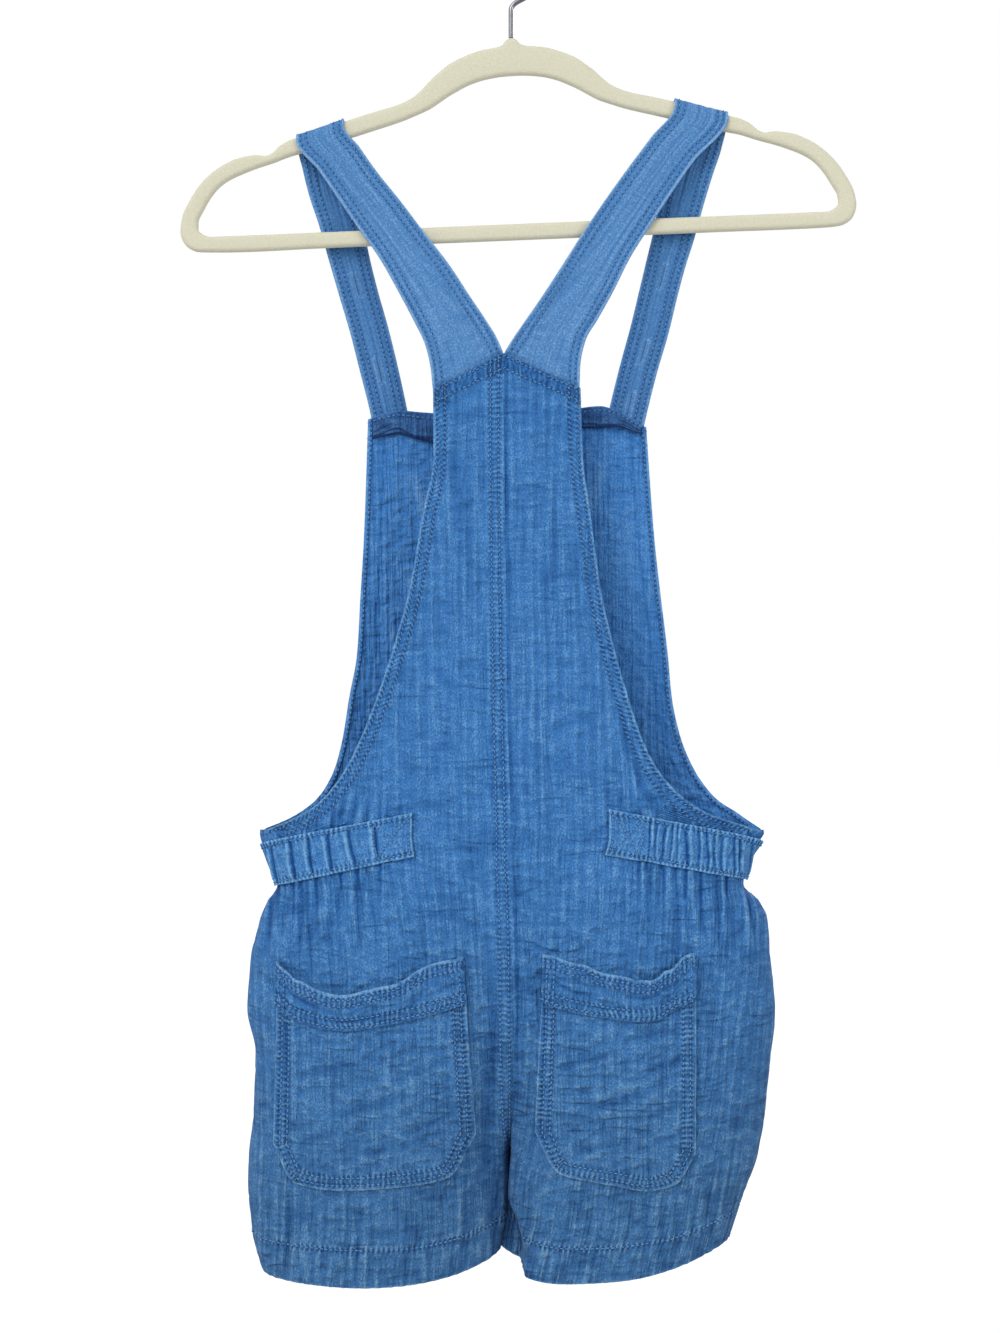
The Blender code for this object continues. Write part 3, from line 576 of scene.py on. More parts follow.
# Waist tabs: the inner end's x, top and bottom, its top and bottom at the side seam, and how long
# the stitched box at its inner end is.
TABS = {
    "left": {"inner_x": -64.0, "inner": (573.0, 601.0), "side": (595.5, 624.0), "box": 24.0},
    "right": {"inner_x": 63.0, "inner": (570.5, 600.0), "side": (593.5, 619.5), "box": 20.5},
}

# Straps, section by section: the edge towards the arm and the edge towards the neck.
STRAP_BACK = tables(
    "arm_x arm_drop neck_x neck_drop",
    left=(
        (-51.5, 296, -5.2, 271.8),
        (-53, 282, -9.5, 262),
        (-56.5, 267, -17.5, 249),
        (-64, 251, -27.5, 234),
        (-74, 232, -40.5, 214),
        (-87, 209, -58.5, 190.5),
        (-101, 189, -74, 170),
        (-114, 170, -88, 152.5),
        (-127, 151, -100, 135.5),
    ),
    right=(
        (45, 295, -4.4, 271.8),
        (45.5, 281, 1, 263),
        (49, 264, 9.5, 250.5),
        (57, 250, 18.5, 237.5),
        (67.5, 231, 31.5, 217.5),
        (78.5, 209, 48, 191.5),
        (92, 187.5, 62.5, 170),
        (106, 166, 77.5, 149),
        (120.5, 145, 92, 129.5),
    ),
)
STRAP_FRONT = tables(
    "arm_x arm_drop neck_x neck_drop",
    left=(
        (-138.5, 148, -107.5, 139),
        (-134, 166, -104, 158),
        (-128, 184, -99.5, 177),
        (-121, 209, -95, 202),
        (-114, 233, -89, 227),
        (-107, 257, -82.5, 250),
        (-101, 281, -76.5, 274),
        (-95, 305, -71, 299),
        (-90, 330, -66, 324),
        (-86, 353, -62, 348),
    ),
    right=(
        (140, 134, 107, 125),
        (134, 152, 103.5, 144),
        (128, 172, 99, 165),
        (122, 194, 95, 188),
        (116, 213, 90.5, 207),
        (111, 232, 86, 226),
        (105, 257, 80, 251),
        (98, 281, 73.5, 275),
        (92, 305, 67.5, 299),
        (86.5, 330, 62, 324),
        (82, 353, 58, 348),
    ),
)
# Where each strap crosses the hanger.
STRAP_TOP = {"left": (-142.0, -110.5), "right": (143.5, 108.0)}

# Half of the hanger, from the neck round to the middle of the bar: outer edge, then inner edge.
HANGER = table(
    "outer_x outer_drop inner_x inner_drop",
    (0, 0, 0, 25),
    (3.2, 1.2, 3, 25.1),
    (6, 4.6, 7, 25.3),
    (10, 5.9, 11, 25.7),
    (20, 7.4, 19, 27),
    (33, 11.6, 29, 30),
    (42, 16, 37, 33.8),
    (48, 20.4, 43, 37),
    (54, 25.4, 49, 40.8),
    (60, 31.5, 56, 45),
    (67, 37, 64, 48.3),
    (76, 41, 74, 52),
    (95, 46, 92, 57.2),
    (118, 52.4, 115, 63.6),
    (143, 60, 140, 70.4),
    (150, 62, 147.5, 72),
    (156.5, 65.6, 154, 74),
    (161, 69.6, 159, 75.8),
    (165.4, 71.4, 164.4, 77.4),
    (171.6, 70.6, 171.6, 79.4),
    (182.9, 72, 181.9, 83),
    (192.1, 75.4, 189.1, 86),
    (201.4, 81, 196.2, 90.4),
    (210.6, 89.6, 202.4, 97),
    (217.8, 100, 208.1, 106),
    (222.6, 110, 211.7, 113),
    (224.2, 120, 212.1, 118.4),
    (220.9, 128.6, 208.6, 122),
    (212.7, 133.2, 204.5, 123.4),
    (199.3, 134, 196.2, 123.5),
    (130, 134, 130, 123.5),
    (65, 134, 65, 123.3),
)

# The rows of stitches so far, group by group.
STITCHES = {}


def smooth(knots, values, at):
    """Values along a soft curve through the knots that never swings past one of them."""
    knots = np.asarray(knots, float)
    values = np.asarray(values, float)
    at = np.clip(np.asarray(at, float), knots[0], knots[-1])
    steps = np.diff(knots)
    slopes = np.diff(values) / steps
    before, after = slopes[:-1], slopes[1:]
    together = np.where(before * after > 0, before + after, 1.0)
    bends = np.where(before * after > 0, 2 * before * after / together, 0.0)
    tangents = np.concatenate([slopes[:1], bends, slopes[-1:]])
    i = np.clip(np.searchsorted(knots, at, side="right") - 1, 0, len(steps) - 1)
    t = (at - knots[i]) / steps[i]
    rise = values[i] * (2 * t**3 - 3 * t**2 + 1) + values[i + 1] * (3 * t**2 - 2 * t**3)
    lean = tangents[i] * (t**3 - 2 * t**2 + t) + tangents[i + 1] * (t**3 - t**2)
    return rise + lean * steps[i]


def body(column, drop):
    """One measure of the body at a drop."""
    return smooth(BODY["drop"], BODY[column], drop)


def eased(low, high, value):
    """0 below low, 1 above high, and a soft rise between."""
    t = np.clip((value - low) / (high - low), 0, 1)
    return t * t * (3 - 2 * t)


def until(low, high, value):
    """1 below low, 0 above high, and a soft fall between."""
    return 1 - eased(low, high, value)


def wave(run, pitch):
    """A wave from -1 to 1 that comes round once in a pitch."""
    return np.sin(2 * np.pi * run / pitch)


def fading(distance, reach):
    """1 as far as an edge, fading away beyond it."""
    return np.exp(-np.clip(distance, 0, None) / reach)


def pressed_in(face, x, drop):
    """How far the folds press the cloth in at a place."""
    folds = FOLDS[face]
    total = np.zeros(np.broadcast(x, drop).shape)
    for start, top, end, foot, width, depth in zip(*folds.values()):
        along = np.clip((drop - top) / (foot - top), 0, 1)
        off = x - (start + (end - start) * along)
        total += depth * np.sin(np.pi * along) ** 0.7 * np.exp(-((off / width) ** 2))
    return total


def turn_at_centre(face, side, drop):
    """The angle through which a level has turned when it reaches the centre seam."""
    share = np.clip(body(face + "_mid", drop) / body(face, drop), 0, 1)
    return np.pi - np.arcsin(share ** (INNER_ROUNDNESS[side] / 2))


def stand_out(face, side, share, drop):
    """How far the cloth stands out, at a share of the way from the side seam to the centre."""
    cosine = 1 - share * (1 - np.cos(turn_at_centre(face, side, drop)))
    sine = np.sqrt(np.clip(1 - cosine**2, 0, 1))
    roundness = np.where(cosine > 0, SIDE_ROUNDNESS, INNER_ROUNDNESS[side])
    return body(face, drop) * sine ** (2 / roundness)


def sign_of(face):
    """Which way along Y a face looks."""
    return -1.0 if face == "back" else 1.0


def inner_x(side, drop):
    """Where the centre seam or the inseam lies, without the wall beside it."""
    below = eased(CROTCH_DROP, INSEAM_DROP, drop) * INSEAM_SPREAD
    return body("centre", drop) + (below if side == "right" else -below)


def cloth(face, side, share, drop):
    """Points in the middle of the cloth of one half of one face."""
    x = body(side, drop) * (1 - share) + inner_x(side, drop) * share
    seam_y = body(side + "_y", drop) * (1 - share)
    out = stand_out(face, side, share, drop) - pressed_in(face, x, drop) * np.sqrt(share)
    out = out * beyond_recess(side, x, drop)
    return np.stack([x, seam_y + sign_of(face) * out, -np.asarray(drop, float)], axis=-1)


def beyond_recess(side, x, drop):
    """0 where a leg lies back beside its inseam, near the hem, and 1 everywhere else."""
    recess = RECESS[side] * eased(RECESS_FROM, INSEAM_DROP, drop)
    return eased(-RECESS_TURN, 0, np.abs(x - inner_x(side, drop)) - recess)


def share_at(side, x, drop):
    """How far a place is from the side seam to the centre, as a share of the way."""
    outer = body(side, drop)
    return np.clip((x - outer) / (inner_x(side, drop) - outer), 0, 1)


def cloth_at(face, x, drop):
    """Points in the middle of the cloth at given places, on whichever half they fall."""
    x = np.asarray(x, float)
    drop = np.asarray(drop, float)
    on_left = x < body("centre", drop)
    left = cloth(face, "left", share_at("left", x, drop), drop)
    right = cloth(face, "right", share_at("right", x, drop), drop)
    found = np.where(on_left[..., None], left, right)
    found[..., 0] = x
    return found


def hem_sag(side, share, level):
    """How far the hem and the levels above it hang below a straight line."""
    bow = 1 - np.abs(2 * share**HEM_LEAN - 1) ** HEM_SQUARENESS[side]
    return HEM_SAG[side] * bow * eased(HEM_SAG_FROM, INSEAM_DROP, level)


def bib_rise(side, share, across, level):
    """How far a level near the top of the bib is drawn up by the straps."""
    straight = BIB_TOP_DROP + (LEVELS["front"][side][0] - BIB_TOP_DROP) * across
    x = body(side, straight) * (1 - share) + inner_x(side, straight) * share
    drawn = smooth(BIB_TOP["x"], BIB_TOP["drop"], x) - straight
    return drawn * until(BIB_TOP_DROP, BIB_EVEN_DROP, level)


def near(values, edge_values, distances):
    """1 on the edge values and 0 away from them, over a distance."""
    return np.exp(-(((values - edge_values) / distances) ** 2))


def soft_noise(u, v, seed):
    """Random values from -1 to 1 that change softly over one unit of u and of v."""
    size = 61
    lattice = np.random.default_rng(seed).uniform(-1, 1, (size, size))
    low_u, low_v = np.floor(u).astype(int), np.floor(v).astype(int)
    part_u, part_v = eased(0, 1, u - low_u), eased(0, 1, v - low_v)
    upper = lattice[low_u % size, low_v % size] * (1 - part_u)
    upper = upper + lattice[(low_u + 1) % size, low_v % size] * part_u
    lower = lattice[low_u % size, (low_v + 1) % size] * (1 - part_u)
    lower = lower + lattice[(low_u + 1) % size, (low_v + 1) % size] * part_u
    return upper * (1 - part_v) + lower * part_v


def line_distance(x, drop, line):
    """Distance of each place from a line of (x, drop) points, and how far along it the nearest one is."""
    steps = np.diff(line, axis=0)
    lengths = np.linalg.norm(steps, axis=1)
    starts = row_lengths(line)
    place = np.stack([np.ravel(x), np.ravel(drop)], axis=-1)
    best = np.full(len(place), np.inf)
    run = np.zeros(len(place))
    for start, step, length, begins in zip(line, steps, lengths, starts):
        along = np.clip((place - start) @ step / length**2, 0, 1)
        gap = np.linalg.norm(place - start - along[:, None] * step, axis=1)
        closer = gap < best
        best = np.where(closer, gap, best)
        run = np.where(closer, begins + along * length, run)
    return best.reshape(np.shape(x)), run.reshape(np.shape(x))


def between(at, walked, points):
    """Points at the given distances along a line whose own points have walked so far."""
    return np.stack([np.interp(at, walked, column) for column in points.T], axis=-1)


def even_line(points, pitch):
    """The same line with its points a pitch apart."""
    walked = row_lengths(points)
    return between(np.arange(pitch / 2, walked[-1], pitch), walked, points)


def unit(vectors):
    """The same vectors, each one long."""
    return vectors / np.maximum(np.linalg.norm(vectors, axis=-1, keepdims=True), 1e-9)


def outward(points):
    """Unit normals of a grid of points, on the side that faces away from the garment's middle."""
    normals = ribbon_normals(points)
    return normals * np.sign((normals[..., 1] * np.sign(points[..., 1])).sum())


def ribbon_normals(points):
    """Unit normals of a grid of points."""
    return unit(np.cross(np.gradient(points, axis=0), np.gradient(points, axis=1)))


def row_lengths(points, axis=0):
    """How far each point of a line or a grid is along it."""
    steps = np.linalg.norm(np.diff(points, axis=axis), axis=-1)
    first = np.zeros_like(np.take(steps, [0], axis=axis))
    return np.concatenate([first, np.cumsum(steps, axis=axis)], axis=axis)


def met(distance, value):
    """The rows of a grid that reach a value, and where along each of them it lies."""
    rows, places = [], []
    for row, values in enumerate(distance):
        if values.min() <= value <= values.max():
            order = np.argsort(values)
            rows.append(row)
            places.append(np.interp(value, values[order], order))
    return np.array(rows, float), np.array(places, float)


def carried(walked, points, stops):
    """Rows of points at new stops along the soft curves through the rows that have walked so far."""
    columns = points.reshape(len(points), -1).T
    curves = [smooth(walked, column, stops) for column in columns]
    return np.stack(curves, axis=-1).reshape(-1, *points.shape[1:])


def evened(values, reach):
    """Each column of values averaged over the rows about it."""
    padded = np.concatenate([values[:1]] * reach + [values] + [values[-1:]] * reach)
    total = np.cumsum(np.concatenate([np.zeros_like(values[:1]), padded]), axis=0)
    return (total[2 * reach + 1 :] - total[: -2 * reach - 1]) / (2 * reach + 1)


# What each mark of a cloth counts for on its outer wall and on its inner one.
MARKS = {"relief": (1, -1), "wear": (1, 1), "run": (MM, MM), "band": (1, 0.3), "drawn": (1, 1)}


class Cloth:
    """A grid of points in the middle of one layer of cloth, and what lies on it.

    across and down are places on the flat cloth, in mm. lift raises the cloth. The relief mark is
    painted light and shade: -1, dark, in a crease and 1, pale, on a ridge. The wear mark is partly
    wear and partly painted light: 1 where washing has faded the cloth or a rolled edge is painted
    with highlight, and below 0 where shade is painted into a groove, a slit or the front of a strap.
    run and band tell where the puckers of a seam lie, and drawn is 1 where the cloth is drawn up
    into fine upright gathers.
    """

    def __init__(self, points, across, down, normals=None):
        self.points = points
        self.normals = outward(points) if normals is None else normals
        self.across = across
        self.down = down
        self.x, self.drop = points[..., 0], -points[..., 2]
        shape = points.shape[:2]
        self.outer_half = np.full(shape, SHELL / 2)
        self.inner_half = np.full(shape, SHELL / 2)
        for key in ("lift", "relief", "wear", "run", "band", "drawn"):
            setattr(self, key, np.zeros(shape))

    def crinkle(self, piece, share=1.0, crossed=1.0):
        """The gauze's ribs down the warp, and the shallow creases that cross them."""
        full, seed = CRINKLES[piece]
        strength = full * share
        u, v = self.across, self.down
        wander = 4.0 * soft_noise(u / 40 + 7, v / 60, seed + 1)
        uneven = 0.65 + 0.35 * soft_noise(u / 20, v / 38 + 9, seed + 2)
        ribs = uneven * wave(u + wander, RIB_PITCH)
        line = soft_noise(u / 42, v / CROSS_PITCH, seed + 3)
        broken = np.clip(0.4 + 0.8 * soft_noise(u / 26, v / 12 + 5, seed + 4), 0, 1)
        cross = crossed * broken * near(line, 0, 0.18)
        self.lift += strength * (RIB_HEIGHT * ribs - CROSS_DEPTH * cross)
        # Ridges painted pale and creases painted with shade.
        self.relief += strength * (0.35 * ribs - 0.6 * cross)

    def gather(self, side):
        """Short ribs where a waist tab draws the panel up, deepest along the tab's lower edge."""
        tab, x, drop = TABS[side], self.x, self.drop
        along = np.clip(np.abs(x - tab["inner_x"]) / GATHER_REACH, 0, 1)
        top = tab["inner"][0] + (tab["side"][0] - tab["inner"][0]) * along
        foot = tab["inner"][1] + (tab["side"][1] - tab["inner"][1]) * along
        drawn = eased(1.08, 1.4, x / tab["inner_x"])
        reach = 12 + 22 * (0.5 + 0.5 * soft_noise(x / 6, 0 * drop, 91))
        below = fading(drop - foot, reach)
        above = fading(top - drop, 9)
        wander = x + 1.2 * soft_noise(x / 14, drop / 22, 92)
        fine, broad = GATHER_PITCHES
        ribs = wave(wander, fine) + 0.5 * wave(wander, broad)
        strength = drawn * below * above
        self.lift += 0.4 * strength * ribs
        # Painted light and shade: pale ribs, dark valleys between them.
        self.relief += strength * (0.4 * np.clip(ribs, 0, 1) - 2.5 * np.clip(-ribs, 0, 1) ** 3)
        self.drawn = np.maximum(self.drawn, strength)

    def crease(self, folds, x, drop):
        """Presses in the folds of a table, and marks them with painted shade."""
        for start, top, end, foot, width, depth in zip(*folds.values()):
            run = np.hypot(end - start, foot - top)
            lean_x, lean_drop = (end - start) / run, (foot - top) / run
            along = ((x - start) * lean_x + (drop - top) * lean_drop) / run
            off = (x - start) * lean_drop - (drop - top) * lean_x
            off = off - 0.012 * run * np.sin(2 * np.pi * along)
            fade = np.clip(np.sin(np.pi * np.clip(along, 0, 1)), 0, 1) ** 0.6
            shape = fade * (near(off, 0, width) - 0.35 * near(np.abs(off), 1.7 * width, 0.8 * width))
            self.lift -= depth * shape
            # The crease is painted with shade.
            self.relief -= np.clip(depth, -0.7, 1.1) * shape

    def sew(self, band, distance, run, where=1.0):
        """Raises a doubled edge, rolls its lip and sinks the rows of stitching along it. The lip is
        painted pale, for wear and for the highlight on the rolled edge, and painted shade lies in the
        rows' grooves.
        """
        looks = {"lip": 0.0, "rise": 0.35, "slant": 0.0, **BANDS[band]}
        rows, lip = looks["rows"], looks["lip"]
        width = rows[-1] + 1.6
        self.lift += where * looks["rise"] * until(width - 0.4, width + 0.8, distance)
        # A rolled lip is painted pale, partly wear and partly highlight on the rolled edge.
        if lip:
            self.lift += where * 0.45 * near(distance, lip * 0.5, lip * 0.45)
            self.wear += where * 0.8 * until(lip * 0.6, lip * 1.15, distance)
        # Each row's groove is painted with shade.
        for row in rows:
            groove = where * near(distance, row, 0.9)
            self.lift -= 0.4 * groove
            self.wear -= 0.75 * groove
        low, high = looks.get("rungs", (rows[0] - 1, rows[-1] + 1))
        between = eased(low - 0.5, low + 0.5, distance) * until(high - 0.5, high + 0.5, distance)
        beside = np.max([near(distance, row, 1.5) for row in rows], axis=0)
        weight = looks["ladder"] * where * np.maximum(0.4 * between, beside)
        uneven = 1.1 * soft_noise(run / 8, distance / 3, 77)
        leaning = run + looks["slant"] * distance + uneven
        self.run = np.where(weight > self.band, leaning, self.run)
        self.band = np.maximum(self.band, weight)

    def hem(self, side):
        """Doubles the cloth below the hem's stitching, which draws it up into ripples and gathers."""
        leg_gathers, hem_gathers = HEM_GATHERS[side]
        doubled = until(HEM_DEPTH, HEM_DEPTH + 1.0, self.foot)
        row = near(self.foot, HEM_DEPTH, 1.0)
        above = fading(self.foot - HEM_DEPTH, 9)
        wander = self.across + 2.5 * soft_noise(self.across / 11, self.drop / 40, 5)
        uneven = 0.55 + 0.45 * soft_noise(self.across / 24, 0 * self.drop, 6)
        rippled = above * uneven * wave(wander, HEM_RIPPLE)
        self.lift += 0.35 * doubled - 0.45 * row
        self.lift += 0.3 * rippled
        # Painted shade in the hem's stitching row, and painted light and shade on its ripples.
        self.relief -= 0.5 * row
        self.relief += 0.35 * rippled
        on_leg = eased(CROTCH_DROP - 50, CROTCH_DROP + 20, self.drop) * leg_gathers
        self.drawn = np.maximum(self.drawn, np.maximum(on_leg, above * hem_gathers))
        # The folded foot and the ridge above the row are painted pale, partly wear and partly highlight,
        # and shade is painted just below the row.
        self.wear += 0.7 * until(0.4, 1.4, self.foot)
        self.wear += 0.4 * near(self.foot, HEM_DEPTH + 1.6, 1.6)
        self.wear -= 0.3 * near(self.foot, HEM_DEPTH - 0.6, 1.0)
        self.inner_half = self.inner_half + (HEM_WALL - SHELL) * doubled
        sewn = 1.9 * near(self.foot, HEM_DEPTH - 0.3, 2.0)
        self.run = np.where(sewn > self.band, self.across, self.run)
        self.band = np.maximum(self.band, sewn)

    def rounded(self, *distances):
        """Rounds the wall off towards the edges that these are the distances from."""
        share = np.clip(np.min(distances, axis=0) / (SHELL / 2), 0, 1)
        rounding = np.maximum(np.sqrt(1 - (1 - share) ** 2), 0.12)
        self.outer_half = self.outer_half * rounding
        self.inner_half = self.inner_half * rounding

    def settle(self, hold=lambda points: points):
        """Works out both walls, once everything that lies on the cloth is in place."""
        middle = self.points + self.normals * self.lift[..., None]
        self.outer = hold(middle + self.normals * self.outer_half[..., None])
        self.inner = hold(middle - self.normals * self.inner_half[..., None])
        facing = ribbon_normals(self.outer)
        self.facing = facing * np.sign((facing * self.normals).sum())

    def at(self, rows, columns, wall="outer"):
        """Places and facings on one wall, at fractional rows and columns."""
        grid = np.concatenate([getattr(self, wall), self.facing], axis=-1)
        high_r, high_c = grid.shape[0] - 1.001, grid.shape[1] - 1.001
        rows, columns = np.clip(rows, 0, high_r), np.clip(columns, 0, high_c)
        r, c = rows.astype(int), columns.astype(int)
        pr, pc = (rows - r)[:, None], (columns - c)[:, None]
        found = (grid[r, c] * (1 - pc) + grid[r, c + 1] * pc) * (1 - pr)
        found = found + (grid[r + 1, c] * (1 - pc) + grid[r + 1, c + 1] * pc) * pr
        side = 1.0 if wall == "outer" else -1.0
        return found[:, :3], found[:, 3:] * side

    def down_line(self, distance, value, wall="outer"):
        """The line down the cloth at one distance from an edge that the rows meet."""
        rows, columns = met(distance, value)
        return self.at(rows, columns, wall)

    def across_line(self, distance, value, wall="outer"):
        """The line across the cloth at one distance from an edge that the columns meet."""
        columns, rows = met(distance.T, value)
        return self.at(rows, columns, wall)

    def as_piece(self, name, finish, inside=None):
        """The cloth as a closed mesh object of the given finishes."""
        rows, columns = self.points.shape[:2]
        half = rows * columns
        index = np.arange(half).reshape(rows, columns)
        quads = np.stack([index[:-1, :-1], index[:-1, 1:], index[1:, 1:], index[1:, :-1]], axis=-1)
        quads = quads.reshape(-1, 4)
        rim = np.concatenate([index[0], index[1:, -1], index[-1, -2::-1], index[-2:0:-1, 0]])
        after = np.roll(rim, -1)
        sides = np.stack([after, rim, rim + half, after + half], axis=-1)
        faces = np.concatenate([quads, quads[:, ::-1] + half, sides])
        vertices = np.concatenate([self.outer.reshape(-1, 3), self.inner.reshape(-1, 3)]) * MM
        halves = vertices[faces[:, [[0, 1, 2], [0, 2, 3]]]]
        if np.linalg.det(halves).sum() < 0:
            faces = faces[:, ::-1]
        mesh = bpy.data.meshes.new(name)
        mesh.from_pydata(vertices.tolist(), [], faces.tolist())
        flat = np.stack([self.across, self.down], axis=-1).reshape(-1, 2) * MM
        corner_vertex = faces.ravel() % half
        layer = mesh.uv_layers.new(name="cloth")
        layer.data.foreach_set("uv", flat[corner_vertex].astype(np.float32).ravel())
        for key, shares in MARKS.items():
            both = np.outer(shares, getattr(self, key).ravel()).astype(np.float32)
            mesh.attributes.new(key, "FLOAT", "POINT").data.foreach_set("value", both.ravel())
        mesh.materials.append(FINISHES[finish])
        if inside:
            mesh.materials.append(FINISHES[inside])
            on_inside = np.zeros(len(faces), np.int32)
            on_inside[len(quads) : 2 * len(quads)] = 1
            mesh.polygons.foreach_set("material_index", on_inside)
        mesh.shade_smooth()
        mesh.update()
        return in_scene(name, mesh)


def in_row(length, near_start, near_end, middle):
    """Distances along a row: close together by its two ends, and even between them."""
    start = np.array(near_start, float)
    end = length - np.array(near_end, float)[::-1]
    between = np.linspace(start[-1], end[0], middle + 2)[1:-1]
    return np.concatenate([start, between, end])


def edge_line(face, side):
    """The armhole edge, as (x, drop) points."""
    drop = np.linspace(EDGE[face]["drop"][0], SIDE_TOP_DROP, 90)
    return np.stack([smooth(EDGE[face]["drop"], EDGE[face][side], drop), drop], axis=-1)


def level_line(face, side, drop, count):
    """Even shares of a turn from the side seam to the centre at one drop, and how far each has walked."""
    turns = np.linspace(0, float(turn_at_centre(face, side, drop)), count)
    fine = (1 - np.cos(turns)) / (1 - np.cos(turns[-1]))
    return fine, row_lengths(cloth(face, side, fine, np.full(fine.shape, drop)))


def panel_cloth(face, side):
    """One panel's cloth, and the distance of each point from its edges."""
    top = YOKE_DROP if face == "back" else BIB_TOP_DROP
    length = INSEAM_DROP - top
    count = int(length / ROW_STEP[face]) - len(TOP_STEPS) - len(HEM_STEPS) // 2
    levels = top + in_row(length, TOP_STEPS, HEM_STEPS, count)
    rows, centre_distance = [], []
    for level in levels:
        edge_drop = float(smooth(LEVELS[face]["centre"], LEVELS[face][side], level))
        edge_x = float(smooth(EDGE[face]["drop"], EDGE[face][side], edge_drop))
        first = float(share_at(side, edge_x, edge_drop)) if edge_drop < SIDE_TOP_DROP else 0.0
        fine, walked = level_line(face, side, level, 260)
        start = np.interp(first, fine, walked)
        steps = in_row(walked[-1] - start, EDGE_STEPS, CENTRE_STEPS, MIDDLE_COLUMNS[face])
        share = np.interp(steps + start, walked, fine)
        drop = level + (edge_drop - level) * (1 - share) / (1 - first)
        drop = drop + hem_sag(side, share, level)
        if face == "front":
            drop = drop + bib_rise(side, share, (1 - share) / (1 - first), level)
        rows.append(cloth(face, side, share, drop))
        centre_distance.append(walked[-1] - start - steps)
    points = np.array(rows)
    centre = np.array(centre_distance)
    sign = -1.0 if side == "left" else 1.0
    off_middle = np.abs(points[..., 0] - body("centre", -points[..., 2]))
    across = sign * (off_middle + evened(centre - off_middle, 120)) + FACE_SHIFT[face]
    made = Cloth(points, across, -points[..., 2])
    made.centre = centre
    made.top = np.broadcast_to(levels[:, None] - top, centre.shape)
    made.foot = np.broadcast_to(INSEAM_DROP - levels[:, None], centre.shape)
    made.edge, made.edge_run = line_distance(made.x, made.drop, edge_line(face, side))
    return made


def inseam_turn(face, drop):
    """How far the fronts meet to one side of where the backs do, so that no light shows between."""
    return (0.7 if face == "front" else 0.0) * eased(CROTCH_DROP - 16, CROTCH_DROP + 4, drop)


def above_crotch(drop):
    """1 along the centre seam, and 0 below its end, where the legs part."""
    return until(CROTCH_DROP - 22, CROTCH_DROP - 2, drop)


def held_to_half(face, side):
    """Keeps points to their own side of the middle, but for the lap of the centre seam."""

    def hold(points):
        drop = -points[..., 2]
        middle = body("centre", drop) + inseam_turn(face, drop)
        reach = 1.6 * above_crotch(drop)
        held = points.copy()
        if side == "left":
            held[..., 0] = np.minimum(held[..., 0], middle + reach - GAP / 2)
        else:
            held[..., 0] = np.maximum(held[..., 0], middle - reach + GAP / 2)
        return held

    return hold


def stitched(group, line, pitch=STITCH_PITCH, slant=0.0):
    """Adds a row of stitches along a line of places and facings, each turned by its slant."""
    places, facings = line
    if len(places) < 2:
        return
    row = even_line(np.concatenate([places, facings], axis=-1), pitch)
    spots, up = row[:, :3], unit(row[:, 3:])
    if len(spots) < 2:
        return
    along = np.gradient(spots, axis=0)
    turned = along + slant * np.cross(up, along)
    STITCHES.setdefault(group, []).append((spots + up * 0.12, up, along, turned))


def panel(face, side):
    """One of the four panels of the body, with its armhole edge, centre seam and hem."""
    made = panel_cloth(face, side)
    x, drop = made.x, made.drop
    back, left = face == "back", side == "left"
    upper = until(SIDE_TOP_DROP - 2, SIDE_TOP_DROP + 6, drop)
    whole = above_crotch(drop)
    share = 1.0
    for pocket_side in POCKETS if back else ():
        share = share - 0.8 * under_pocket(pocket_side, x, drop)
    made.crinkle(face, share)
    made.crease(CREASES[face], x, drop)
    if back:
        made.gather(side)
    made.sew(f"{face}_edge", made.edge, made.edge_run, where=upper)
    made.sew(f"{face}_top", made.top, made.across)
    if back:
        made.lift += 0.3 * upper * near(made.edge, 5.2, 1.9) * wave(made.edge_run, ARMHOLE_RIPPLE)
        # Painted shade on the puckered yoke band, between its rows.
        made.relief -= 0.8 * near(made.top, 6, 5)
    if left:
        made.sew("centre", made.centre, drop, where=whole)
        # The fold edge of the centre seam is painted pale, partly wear and partly highlight.
        made.wear += 0.25 * whole * near(made.centre, 0.7, 0.7)
    else:
        made.lift -= 1.25 * whole * until(0.1, 1.3, made.centre)
        # Painted shadow beside the fold of the centre seam, where the left panel laps over.
        made.relief -= 1.3 * whole * near(made.centre, 2.2, 0.8)
    lap = 0.7 if left else -0.9
    made.points[..., 0] += lap * whole * until(0, 3, made.centre)
    made.hem(side)
    made.rounded(made.edge, made.foot, made.top)
    made.points[..., 0] += inseam_turn(face, drop) * until(0, 8, made.centre)
    made.settle(held_to_half(face, side))
    panel_rows(made, face, left, upper, whole)
    return made.as_piece(f"{face}_{side}_cloth", "gauze", "gauze_inside_painted_light")


def panel_rows(made, face, left, upper, whole):
    """The stitching of a panel: beside its armhole, along its top, down its centre and its hem."""
    group = f"{face}_stitches"
    slant = 0.9 if face == "back" else 0.0
    armhole = made.edge + FAR * (upper < 0.5)
    rows = BANDS[f"{face}_edge"]["rows"]
    for row in rows:
        stitched(group, made.down_line(armhole, row), slant=slant)
    if face == "front":
        stitched(group, made.down_line(armhole, rows[0], "inner"))
    for row in BANDS[f"{face}_top"]["rows"]:
        stitched(group, made.across_line(made.top, row))
    if left:
        for row in BANDS["centre"]["rows"]:
            stitched(group, made.down_line(made.centre + FAR * (whole < 0.5), row))
    stitched(group, made.across_line(made.foot, HEM_DEPTH))


